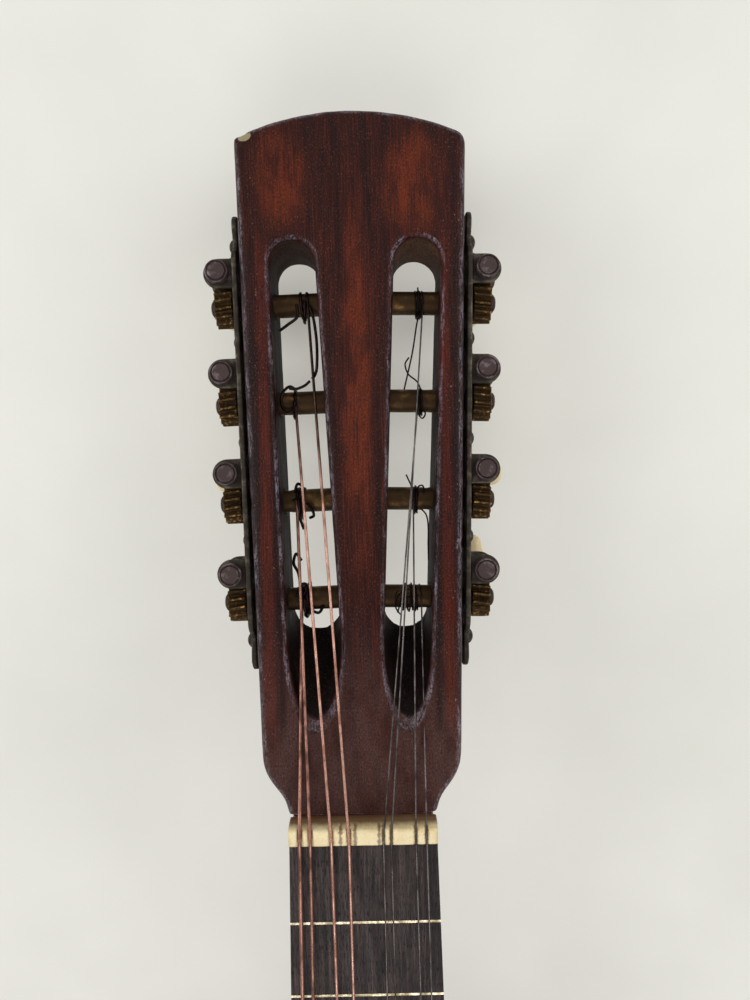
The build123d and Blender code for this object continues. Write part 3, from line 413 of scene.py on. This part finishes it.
def paint_head_wood():
    """Old red-brown stained wood under worn varnish, specked all over and pale on rubbed edges; the pale
    edges and pale specks are partly painted highlights.
    """
    paint = Paint("head_wood", specular=0.16)
    place = paint.place(from_head=True)
    fibre = paint.noise(place, (0.34, 11, 0.34), 5, 0.65, 0.25)
    blot = paint.noise(place, (5, 12, 5), 5, 0.6)
    grit = paint.noise(place, (0.3, 0.55, 0.3), 3, 0.7)
    colour = stained_grain(paint, place, fibre, blot)
    inside, wall = slot_walls(paint, place, fibre)
    colour = paint.coat(colour, inside, 0.94, wall)
    # pale rubbed edges: partly worn varnish, partly painted highlights
    rubbed = rubbed_varnish_and_highlights(paint, place, grit)
    colour = paint.coat(colour, rubbed, 0.85, srgb(140, 130, 142))
    pitted = paint.rise(grit, 0.34, 0.5, 0.62, 0.0)
    colour = paint.mix(pitted, colour, srgb(10, 5, 5))
    # pale specks: partly hazy varnish, partly painted speckled highlights
    haze_and_glints = paint.both(paint.rise(grit, 0.56, 0.68), paint.rise(blot, 0.34, 0.6, 0.35, 1.0))
    colour = paint.coat(colour, haze_and_glints, 0.34, srgb(146, 92, 76))
    # darker in the hollows, where the rounding is below 0
    corner_darkening = paint.rise(paint.wear(), -0.25, -0.05, 0.8, 0.0)
    colour = paint.mix(corner_darkening, colour, srgb(12, 8, 8))
    paint.colour(scuffs_and_chip(paint, place, colour))
    sheen = paint.maths("ADD", paint.rise(blot, 0.3, 0.7, 0.30, 0.46), paint.maths("MULTIPLY", rubbed, 0.12))
    paint.roughness(paint.maths("ADD", sheen, paint.maths("MULTIPLY", inside, 0.3)))
    relief = paint.maths("ADD", fibre, paint.maths("MULTIPLY", grit, 0.7))
    paint.bump(relief, 0.12)
    return paint.material


def paint_wood(name, dark, light, line, length, gloss=0.4, relief=0.06, pores=0.0):
    """Wood with its grain along the instrument: line is the spacing of the grain, in millimetres."""
    paint = Paint(name)
    place = paint.place()
    grain = paint.noise(place, (line, length, line), 4, 0.6, 0.35)
    figure = paint.noise(place, (line * 9, length * 2.5, line * 9), 3)
    colour = paint.ramp(grain, (0.32, dark), (0.68, light))
    shade = tuple(0.62 * value for value in dark[:3]) + (1.0,)
    colour = paint.mix(paint.rise(figure, 0.45, 0.75, 0.0, 0.55), colour, shade)
    if pores:
        pore = paint.rise(paint.noise(place, (0.18, 2.6, 0.18), 2, 0.5), 0.6, 0.68)
        colour = paint.coat(colour, pore, pores, shade)
    wear = paint.wear()
    pale = tuple(min(1.0, 1.5 * value + 0.03) for value in light[:3]) + (1.0,)
    colour = paint.mix(paint.rise(wear, 0.25, 0.9, 0.0, 0.5), colour, pale)
    paint.colour(colour)
    paint.roughness(paint.rise(figure, 0.3, 0.7, gloss - 0.07, gloss + 0.1))
    paint.bump(grain, relief)
    return paint.material


def paint_fretboard():
    """Near-black wood with brown-grey streaks, rubbed paler along its middle toward the nut."""
    paint = Paint("fretboard_wood", specular=0.22)
    place = paint.place()
    x, y, _ = paint.parts(place)
    grain = paint.noise(place, (0.34, 12, 0.34), 5, 0.7, 0.3)
    streak = paint.noise(place, (1.6, 26, 1.6), 4)
    pore = paint.rise(paint.noise(place, (0.16, 2.2, 0.16), 2), 0.58, 0.66)
    colour = paint.ramp(grain, (0.3, srgb(19, 15, 15)), (0.5, srgb(40, 31, 30)), (0.72, srgb(92, 72, 66)))
    colour = paint.mix(paint.rise(streak, 0.44, 0.66, 0.0, 0.75), colour, srgb(24, 21, 23))
    colour = paint.coat(colour, pore, 0.8, srgb(10, 9, 10))
    near_nut = paint.rise(y, NUT_FRONT - 100, NUT_FRONT, 0.0, 0.3)
    fingers = paint.both(near_nut, paint.rise(paint.noise(place, (6, 9, 6), 3), 0.42, 0.62),
                         paint.rise(paint.maths("ABSOLUTE", x), 9, 16, 1.0, 0.2))
    colour = paint.mix(fingers, colour, srgb(76, 62, 58))
    paint.colour(colour)
    paint.roughness(paint.rise(streak, 0.3, 0.7, 0.42, 0.6))
    paint.bump(paint.maths("SUBTRACT", grain, pore), 0.05)
    return paint.material


def nut_stains_and_shade(paint, place, cloud, colour):
    """Brown at the foot of the nut's rear face, partly stain and partly painted shade, and brown round every
    string slot and where it meets the wood.
    """
    x, y, z = paint.parts(place)
    _, _, height = paint.parts(paint.place(from_head=True))
    ragged = paint.noise(place, (1.1, 0.8, 1.1), 4, 0.65)
    uneven = paint.maths("ADD", height, paint.maths("MULTIPLY", ragged, 1.5))
    # the foot of the rear face: partly stain, partly painted shade
    stain = paint.both(paint.rise(uneven, 2.6, 5.2, 0.9, 0.0), paint.rise(y, NUT_BACK - 1.6, NUT_BACK - 0.6))
    for slot_x in [string[1] for string in STRINGS] + list(OLD_NUT_SLOTS):
        off = paint.maths("ABSOLUTE", paint.maths("SUBTRACT", x, slot_x))
        wobble = paint.maths("ADD", off, paint.maths("MULTIPLY", ragged, 1.3))
        stain = paint.maths("MAXIMUM", stain, paint.rise(wobble, 0.75, 1.25, 0.8, 0.0))
    colour = paint.mix(stain, colour, srgb(96, 64, 38))
    low = paint.maths("ADD", z, paint.maths("MULTIPLY", cloud, 1.2))
    return paint.mix(paint.rise(low, TOP_Z + 0.9, TOP_Z + 2.2, 0.6, 0.0), colour, srgb(70, 46, 30))


def paint_bone(name, stained):
    """Yellowed bone, faintly streaked, and stained where it is the nut, with painted shade at the foot of
    its rear face.
    """
    paint = Paint(name, 0.38)
    place = paint.place()
    cloud = paint.noise(place, (3.2, 3.2, 3.2), 4)
    fine = paint.noise(place, (0.35, 0.35, 1.6), 3)
    colour = paint.ramp(cloud, (0.3, srgb(220, 198, 148)), (0.7, srgb(240, 224, 180)))
    colour = paint.mix(paint.rise(fine, 0.52, 0.7, 0.0, 0.3), colour, srgb(178, 150, 104))
    if stained:
        colour = nut_stains_and_shade(paint, place, cloud, colour)
    paint.colour(colour)
    paint.bump(fine, 0.03)
    paint.roughness(paint.rise(cloud, 0.3, 0.7, 0.3, 0.5))
    return paint.material


def paint_metal(name, colours, shine=0.4, blot=1.6, tarnish=0.5, relief=0.03, metallic=0.95, screw=None):
    """Old metal: bright where it is rubbed, partly as painted glints; dull brown over the rest; darker in
    the corners.

    colours are those three; screw is the colour of the points marked as steel.
    """
    bright, dull, grime = colours
    paint = Paint(name, shine, metallic)
    place = paint.place()
    cloud = paint.noise(place, (blot, blot, blot), 5, 0.6)
    fine = paint.noise(place, (0.22, 0.22, 0.22), 3, 0.6)
    wear = paint.wear()
    # bright on rounded edges: partly rubbed metal, partly painted glints
    patina = paint.rise(paint.maths("ADD", cloud, paint.maths("MULTIPLY", wear, -0.35)),
                        tarnish - 0.28, tarnish + 0.02)
    colour = paint.mix(patina, bright, dull)
    # darker in the hollows, where the rounding is below 0, and in fine specks
    dirt = paint.rise(paint.maths("ADD", wear, paint.maths("MULTIPLY", fine, 0.3)), -0.12, 0.12, 0.95, 0.0)
    specks = paint.rise(fine, 0.62, 0.74, 0.0, 0.6)
    colour = paint.mix(paint.maths("MAXIMUM", dirt, specks), colour, grime)
    if screw:
        steel = paint.node("Attribute", attribute_name="steel").outputs["Fac"]
        colour = paint.mix(steel, colour, screw)
    paint.colour(colour)
    grain = paint.rise(fine, 0.3, 0.7, shine - 0.08, shine + 0.1)
    paint.roughness(paint.maths("ADD", paint.maths("MULTIPLY", patina, 0.22), grain))
    paint.bump(paint.maths("ADD", cloud, fine), relief)
    return paint.material


def paint_rosette():
    """Inlaid rings round the soundhole: pale and dark lines either side of a band of small blocks."""
    paint = Paint("rosette_inlay", 0.36)
    place = paint.place()
    moved = paint.node("Mapping", {"Vector": place, "Location": (0, -HOLE_Y, 0), "Scale": (1, 1, 0)})
    radius = paint.node("VectorMath", {0: moved.outputs[0]}, operation="LENGTH").outputs["Value"]
    x, y, _ = paint.parts(moved.outputs[0])
    angle = paint.maths("ARCTAN2", y, x)
    inner, outer = 35.0, 42.0
    band_inner, band_outer = 37.0, 39.8
    blocks_round, block_tall = 84, 1.3
    across = paint.maths("MULTIPLY", angle, blocks_round / (2 * math.pi))
    outward = paint.maths("DIVIDE", radius, block_tall)
    cells = paint.node("CombineXYZ", {0: across, 1: outward, 2: 0.5})
    checks = paint.node("TexChecker", {"Vector": cells.outputs[0], "Scale": 1.0,
                                       "Color1": srgb(206, 176, 116), "Color2": srgb(60, 26, 18)})
    cloud = paint.noise(place, (0.8, 0.8, 0.8), 3)
    mosaic = paint.mix(paint.rise(cloud, 0.4, 0.7, 0.0, 0.4), checks.outputs["Color"], srgb(110, 58, 30))
    dark, pale = srgb(28, 18, 14), srgb(214, 190, 140)
    rings = paint.ramp(paint.rise(radius, inner, outer), (0.0, dark), (0.06, pale), (0.12, dark),
                       (0.20, pale), (0.74, dark), (0.84, pale), (0.93, dark), sharp=True)
    band = paint.both(paint.rise(radius, band_inner - 0.01, band_inner + 0.01),
                      paint.rise(radius, band_outer - 0.01, band_outer + 0.01, 1.0, 0.0))
    paint.colour(paint.mix(band, rings, mosaic))
    paint.roughness(paint.rise(cloud, 0.3, 0.7, 0.3, 0.44))
    paint.bump(cloud, 0.02)
    return paint.material


def paint_string(name, bright, dull, shine, dark=None):
    """String wire, tarnished along its length; with a dark colour, darker over the head toward its tip."""
    paint = Paint(name, shine, 0.85)
    place = paint.place()
    cloud = paint.noise(place, (1.5, 7, 1.5), 4)
    fine = paint.noise(place, (0.25, 0.25, 0.25), 2)
    colour = paint.mix(paint.rise(cloud, 0.42, 0.66), bright, dull)
    colour = paint.mix(paint.rise(fine, 0.5, 0.7, 0.0, 0.6), colour, srgb(38, 26, 23))
    if dark:
        _, v, _ = paint.parts(paint.place(from_head=True))
        ragged = paint.maths("ADD", v, paint.maths("MULTIPLY", cloud, 30))
        colour = paint.mix(paint.rise(ragged, 70, 112), colour, dark)
    paint.colour(colour)
    paint.roughness(paint.rise(cloud, 0.3, 0.7, shine - 0.06, shine + 0.16))
    paint.bump(fine, 0.02)
    return paint.material


def make_paints():
    """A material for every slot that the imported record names, and for the nut and the old wire."""
    return {
        "head_wood": paint_head_wood(),
        "neck_wood": paint_wood("neck_wood", srgb(64, 28, 19), srgb(104, 52, 33), 0.6, 22, 0.42, 0.06, 0.7),
        "body_wood": paint_wood("body_wood", srgb(58, 29, 20), srgb(104, 58, 36), 0.9, 40, 0.3, 0.03, 0.6),
        "spruce": paint_wood("spruce", srgb(176, 124, 68), srgb(212, 166, 104), 0.8, 120, 0.34, 0.03),
        "inner_wood": paint_wood("inner_wood", srgb(172, 136, 92), srgb(206, 174, 128), 0.9, 60, 0.68, 0.05),
        "binding_wood": paint_wood("binding_wood", srgb(30, 19, 15), srgb(54, 34, 26), 0.5, 26, 0.32, 0.03),
        "bridge_wood": paint_wood("bridge_wood", srgb(34, 22, 18), srgb(66, 42, 32), 0.5, 20, 0.44, 0.06,
                                  0.8),
        "rosette_inlay": paint_rosette(),
        "bone": paint_bone("bone", stained=False),
        "nut_bone": paint_bone("nut_bone", stained=True),
        "fretboard_wood": paint_fretboard(),
        "fret_metal": paint_metal("fret_metal", (srgb(224, 212, 184), srgb(150, 134, 104), srgb(70, 58, 44)),
                                  0.28, 2.4, 0.62),
        "plate_metal": paint_metal("plate_metal", (srgb(104, 96, 86), srgb(62, 55, 48), srgb(22, 19, 18)),
                                   0.44, 2.2, 0.5, 0.05, 0.7),
        "screw_steel": paint_metal("screw_steel", (srgb(104, 95, 91), srgb(58, 51, 49), srgb(22, 18, 18)),
                                   0.42, 1.2, 0.5, 0.04, 0.75),
        "shaft_steel": paint_metal("shaft_steel", (srgb(138, 124, 126), srgb(78, 65, 64), srgb(32, 26, 26)),
                                   0.34, 1.8, 0.5, 0.02, 0.75),
        "wheel_brass": paint_metal("wheel_brass", (srgb(186, 146, 86), srgb(72, 56, 39), srgb(20, 15, 12)),
                                   0.36, 0.8, 0.46, 0.05, screw=srgb(70, 60, 58)),
        "roller_brass": paint_metal("roller_brass", (srgb(118, 90, 54), srgb(70, 53, 36), srgb(24, 18, 15)),
                                    0.36, 4.5, 0.5, 0.012, 0.85),
        "button_ivory": paint_bone("button_ivory", stained=False),
        "wound_string": paint_string("wound_string", srgb(214, 164, 146), srgb(172, 122, 106), 0.4,
                                     srgb(52, 38, 35)),
        "dirty_wound_string": paint_string("dirty_wound_string", srgb(176, 128, 112), srgb(112, 78, 68),
                                           0.42, srgb(46, 34, 32)),
        "plain_string": paint_string("plain_string", srgb(112, 106, 104), srgb(66, 60, 58), 0.32),
        "old_winding": paint_string("old_winding", srgb(44, 35, 34), srgb(28, 22, 22), 0.42),
    }


# --- Worn shapes -------------------------------------------------------------------------------------


def relax(points, edges, rounds):
    """Moves every point halfway to the middle of its neighbours, this many times."""
    count = len(points)
    first, second = edges[:, 0], edges[:, 1]
    degree = np.bincount(edges.ravel(), minlength=count)
    moved = points.copy()
    for _ in range(rounds):
        for axis in range(3):
            total = np.bincount(first, weights=moved[second, axis], minlength=count)
            total += np.bincount(second, weights=moved[first, axis], minlength=count)
            moved[:, axis] += 0.5 * (total / degree - moved[:, axis])
    return moved


def numbers(items, name, width=3, kind=float):
    """A property of all the items of a mesh, as an array of rows."""
    values = np.empty(len(items) * width, dtype=kind)
    items.foreach_get(name, values)
    return values.reshape(-1, width)


def voxel_skin(node, voxel):
    """The skin of a CAD node redrawn in even voxels, in the head's frame."""
    mesh = frame["nodes"][node].data.copy()
    merged = bmesh.new()
    merged.from_mesh(mesh)
    bmesh.ops.remove_doubles(merged, verts=merged.verts, dist=1e-6)
    merged.to_mesh(mesh)
    merged.free()
    mesh.transform(HEAD.inverted())
    piece = bpy.data.objects.new(node + "_worn", mesh)
    scene.collection.objects.link(piece)
    remesh = piece.modifiers.new("voxels", "REMESH")
    remesh.mode = "VOXEL"
    remesh.voxel_size = voxel * MM
    skin = bpy.data.meshes.new_from_object(piece.evaluated_get(bpy.context.evaluated_depsgraph_get()))
    piece.modifiers.clear()
    piece.data = skin
    return piece


def soften(node, voxel, rounds, paint, body, shape=None):
    """A copy of a CAD node with its edges rubbed round, which stands for the node.

    voxel is in millimetres. The attribute 'rounding' keeps how far each point was rounded off.
    """
    piece = voxel_skin(node, voxel)
    skin = piece.data
    points = numbers(skin.vertices, "co")
    normals = numbers(skin.vertices, "normal")
    edges = numbers(skin.edges, "vertices", 2, np.int64)
    little = relax(points, edges, rounds)
    much = relax(little, edges, 2 * rounds)
    u, v, w = (points / MM).T
    uneven = 0.5 + 0.5 * np.sin(0.21 * v + 0.7 * u) * np.sin(0.34 * u - 0.13 * v + 0.9 * w)
    worn = little + (much - little) * uneven[:, None]
    wear = ((points - worn) * normals).sum(axis=1) / (voxel * MM)
    if shape:
        worn = shape(worn / MM, normals) * MM
    skin.vertices.foreach_set("co", worn.ravel())
    skin.attributes.new("wear", "FLOAT", "POINT").data.foreach_set("value", wear)
    skin.transform(HEAD)
    skin.materials.clear()
    skin.materials.append(paint)
    skin.polygons.foreach_set("use_smooth", np.ones(len(skin.polygons), dtype=bool))
    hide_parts(node)
    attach(piece, body)
    return piece


def nicks(points, normals):
    """Presses dents and lost splinters into the head, each given as (u, v, w, reach, depth)."""
    for u, v, w, reach, depth in (
        (-24.0, 152.6, 0.0, 1.8, 0.6), (-8.0, 7.5, 0.0, 0.9, 0.35), (-2.2, 7.6, 0.0, 0.8, 0.3),
        (21.5, 96.0, 0.0, 1.0, 0.3), (22.0, 128.0, 0.0, 1.2, 0.3), (-21.5, 117.0, 0.0, 1.5, 0.25),
        (-9.6, 62.0, 0.0, 1.2, 0.25), (8.2, 55.0, 0.0, 1.4, 0.3), (-23.0, 70.0, -2.0, 1.6, 0.3),
        (4.0, 152.0, 0.0, 1.2, 0.25), (23.0, 60.0, -1.0, 1.5, 0.3), (10.0, 12.0, 0.0, 0.8, 0.25),
    ):
        away = np.linalg.norm(points - (u, v, w), axis=1) / reach
        fall = np.clip(1 - away ** 2, 0, None)
        points = points - normals * (depth * fall)[:, None]
    return points


def mark_steel(piece, side, number):
    """Marks the screw in the middle of a worm wheel, which is steel where the wheel is brass."""
    middle, axis = joint(f"roller_turn_{side}_{number}")
    mesh = piece.data
    away = numbers(mesh.vertices, "co") - np.array(middle)
    along = away @ np.array(axis)
    off = np.linalg.norm(away - along[:, None] * np.array(axis), axis=1) / MM
    far = np.abs(along)
    steel = ((off < WHEEL_SCREW) & (far > np.percentile(far, 50))).astype(float)
    mesh.attributes.new("steel", "FLOAT", "POINT").data.foreach_set("value", steel)


# --- Strings ---------------------------------------------------------------------------------------------


def rounded(corners, bend):
    """The corners joined by straight runs, each inner corner rounded over this distance."""
    line = [corners[0]]
    for before, corner, after in zip(corners, corners[1:], corners[2:]):
        start = corner + (before - corner).normalized() * bend
        end = corner + (after - corner).normalized() * bend
        for step in range(5):
            t = step / 4
            line.append(start * (1 - t) ** 2 + corner * 2 * t * (1 - t) + end * t ** 2)
    line.append(corners[-1])
    return line


def divided(line, pitch):
    """The same line with points this far apart."""
    dense = []
    for start, end in zip(line, line[1:]):
        steps = max(1, round((end - start).length / pitch))
        dense += [start.lerp(end, step / steps) for step in range(steps)]
    return dense + [line[-1]]


def bent(points):
    """A smooth line through the given points."""
    steps = 7
    ends = [2 * points[0] - points[1], *points, 2 * points[-1] - points[-2]]
    line = []
    for a, b, c, d in zip(ends, ends[1:], ends[2:], ends[3:]):
        for step in range(steps):
            t = step / steps
            line.append(0.5 * (2 * b + (c - a) * t + (2 * a - 5 * b + 4 * c - d) * t ** 2
                               + (3 * b - a - 3 * c + d) * t ** 3))
    return line + [points[-1]]


def add_wire(shape, line, radii, sides=8):
    """Adds a closed tube round a line of points to a bmesh; the radii repeat along it."""
    turn = (line[1] - line[0]).normalized()
    across = turn.orthogonal().normalized()
    rings = []
    for index, point in enumerate(line):
        after = line[min(index + 1, len(line) - 1)]
        before = line[max(index - 1, 0)]
        heading = (after - before).normalized()
        across = (across - heading * across.dot(heading)).normalized()
        other = heading.cross(across)
        radius = radii[index % len(radii)]
        rings.append([
            shape.verts.new(point + (across * math.cos(a) + other * math.sin(a)) * radius)
            for a in (2 * math.pi * side / sides for side in range(sides))
        ])
    for near, far in zip(rings, rings[1:]):
        for side in range(sides):
            shape.faces.new((near[side], near[side - 1], far[side - 1], far[side]))
    shape.faces.new(rings[0])
    shape.faces.new(rings[-1][::-1])


def finish_wires(shape, name, paint, body, nodes=()):
    """Makes a piece from the wires in a bmesh, in millimetres."""
    mesh = bpy.data.meshes.new(name)
    bmesh.ops.recalc_face_normals(shape, faces=shape.faces)
    shape.to_mesh(mesh)
    shape.free()
    mesh.transform(Matrix.Scale(MM, 4))
    mesh.materials.append(paint)
    mesh.polygons.foreach_set("use_smooth", np.ones(len(mesh.polygons), dtype=bool))
    piece = bpy.data.objects.new(name, mesh)
    scene.collection.objects.link(piece)
    if nodes:
        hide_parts(*nodes)
    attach(piece, body)


def landing(string):
    """The middle of a string's roller, the string's distance from it and the angle where they meet."""
    _, nut_x, tuner, _, diameter, _, _ = string
    corner = HEAD.inverted() @ (Vector((nut_x, NUT_FRONT + NUT_BREAK, STRING_FOOT + diameter / 2)) * MM) / MM
    middle, _ = joint("roller_turn_{}_{}".format(*tuner))
    axle = HEAD.inverted() @ middle / MM
    reach = ROLLER_RADIUS + diameter / 2 + STRING_ROOM
    run, drop = axle.y - corner.y, corner.z - axle.z
    fall = math.atan2(drop, run) - math.asin(reach / math.hypot(run, drop))
    return axle, reach, fall


def roller_point(axle, reach, angle, u):
    """A point on a roller, in scene millimetres: angle 0 is its top and a quarter turn its tip side."""
    return on_head(u, axle.y + reach * math.sin(angle), axle.z + reach * math.cos(angle)) / MM


def string_line(string):
    """A string from its loop on the bridge's tie block to the top of its roller."""
    saddle_x, nut_x, _, roller_u, diameter, _, _ = string
    radius = diameter / 2
    rear, front, height = TIE_HOLE
    axle, reach, fall = landing(string)
    block_top = TOP_Z + TIE_BLOCK + radius + 0.05
    corners = [
        Vector((saddle_x + TIE_LOOP, SADDLE_Y + front + 0.8, TOP_Z + 5.6)),
        Vector((saddle_x + TIE_LOOP, SADDLE_Y + front - 0.7, block_top)),
        Vector((saddle_x + 0.6, SADDLE_Y + rear + 0.6, block_top)),
        Vector((saddle_x, SADDLE_Y + rear - 1.6, TOP_Z + height + 0.9)),
        Vector((saddle_x, SADDLE_Y + rear + 0.4, TOP_Z + height)),
        Vector((saddle_x, SADDLE_Y + front, TOP_Z + height)),
        Vector((saddle_x, SADDLE_Y, SADDLE_LINE + radius)),
        Vector((nut_x, NUT_FRONT + NUT_BREAK, STRING_FOOT + radius)),
        roller_point(axle, reach, fall, roller_u),
    ]
    return rounded(corners, 0.6)


def make_strings(paints):
    """The strings, in their pairs; the four bass ones are wound, with a ridge at every turn."""
    for pair in range(4):
        shape = bmesh.new()
        slot_name = "wound_string" if pair < 2 else "plain_string"
        paint = paints["dirty_wound_string" if pair == 0 else slot_name]
        for string in STRINGS[2 * pair:2 * pair + 2]:
            radius = string[4] / 2
            if pair < 2:
                add_wire(shape, divided(string_line(string), 0.2), (radius, radius * 0.86))
            else:
                add_wire(shape, divided(string_line(string), 8.0), (radius,))
        finish_wires(shape, f"strings_{pair + 1}", paint, "root",
                     [f"string_pair_{pair + 1}"])


def make_windings(paints):
    """Each string's turns round its roller and its loose ends, which turn with the roller."""
    for index, string in enumerate(STRINGS):
        tuner, roller_u, diameter, turns, drift = string[2:]
        wound = index < 4
        axle, reach, fall = landing(string)
        shape = bmesh.new()
        coil = []
        for step in range(turns * STEPS_A_TURN + 1):
            turned = step / STEPS_A_TURN
            # the turns lie side by side, and the last ones cross back over the first
            crossing = max(0.0, turned - CROSSING_FROM * turns)
            u = roller_u - drift * diameter * (turned - 2.2 * crossing)
            lift = diameter * 0.9 * min(1.0, 2.0 * crossing)
            u += 0.12 * diameter * math.sin(2.3 * step)
            coil.append(roller_point(axle, reach + lift, fall + 2 * math.pi * turned, u))
        add_wire(shape, coil, (diameter / 2,))
        core = LOOSE_RADIUS if wound else diameter / 2
        for bends in LOOSE_ENDS[tuner]:
            points = [on_head(u, v, axle.z + up) / MM for u, v, up in bends]
            add_wire(shape, bent(points), (core,), 6)
        side, number = tuner
        finish_wires(shape, f"winding_{side}_{number}", paints["old_winding"],
                     f"string_roller_{side}_{number}")


# --- The whole instrument ---------------------------------------------------------------------------------

# CAD nodes redrawn with worn edges: voxel in millimetres, rounds of smoothing
WORN_NODES = {
    "headstock": (0.5, 3),
    "neck": (0.6, 3),
    "bridge": (0.5, 3),
    "saddle": (0.3, 3),
    "nut": (0.16, 7),
    "tuner_plate_left": (0.22, 2),
    "tuner_plate_right": (0.22, 2),
    "plate_screws": (0.16, 2),
}
# and the parts of every tuner: the body each rides on, voxel, rounds
WORN_TUNER_PARTS = {
    "button": ("tuner_shaft", 0.3, 5),
    "worm_shaft": ("tuner_shaft", 0.12, 1),
    "roller": ("string_roller", 0.22, 2),
    "worm_wheel": ("string_roller", 0.13, 2),
}


def paint_cad_nodes(paints, slots):
    """Gives every CAD node the material of its slot."""
    for name, node in frame["nodes"].items():
        node.data.materials.clear()
        node.data.materials.append(paints[slots[name]])


make_camera()
make_studio()
make_floor()
paints = make_paints()
slots = {part["node"]: part["material_slot"] for part in frame["record"]["subparts"]}
paint_cad_nodes(paints, slots)
for node, (voxel, rounds) in WORN_NODES.items():
    paint = paints["nut_bone" if node == "nut" else slots[node]]
    soften(node, voxel, rounds, paint, "root", nicks if node == "headstock" else None)
for side, number in TUNERS:
    for part, (body, voxel, rounds) in WORN_TUNER_PARTS.items():
        node = f"{part}_{side}_{number}"
        worn = soften(node, voxel, rounds, paints[slots[node]], f"{body}_{side}_{number}")
        if part == "worm_wheel":
            mark_steel(worn, side, number)
make_strings(paints)
make_windings(paints)
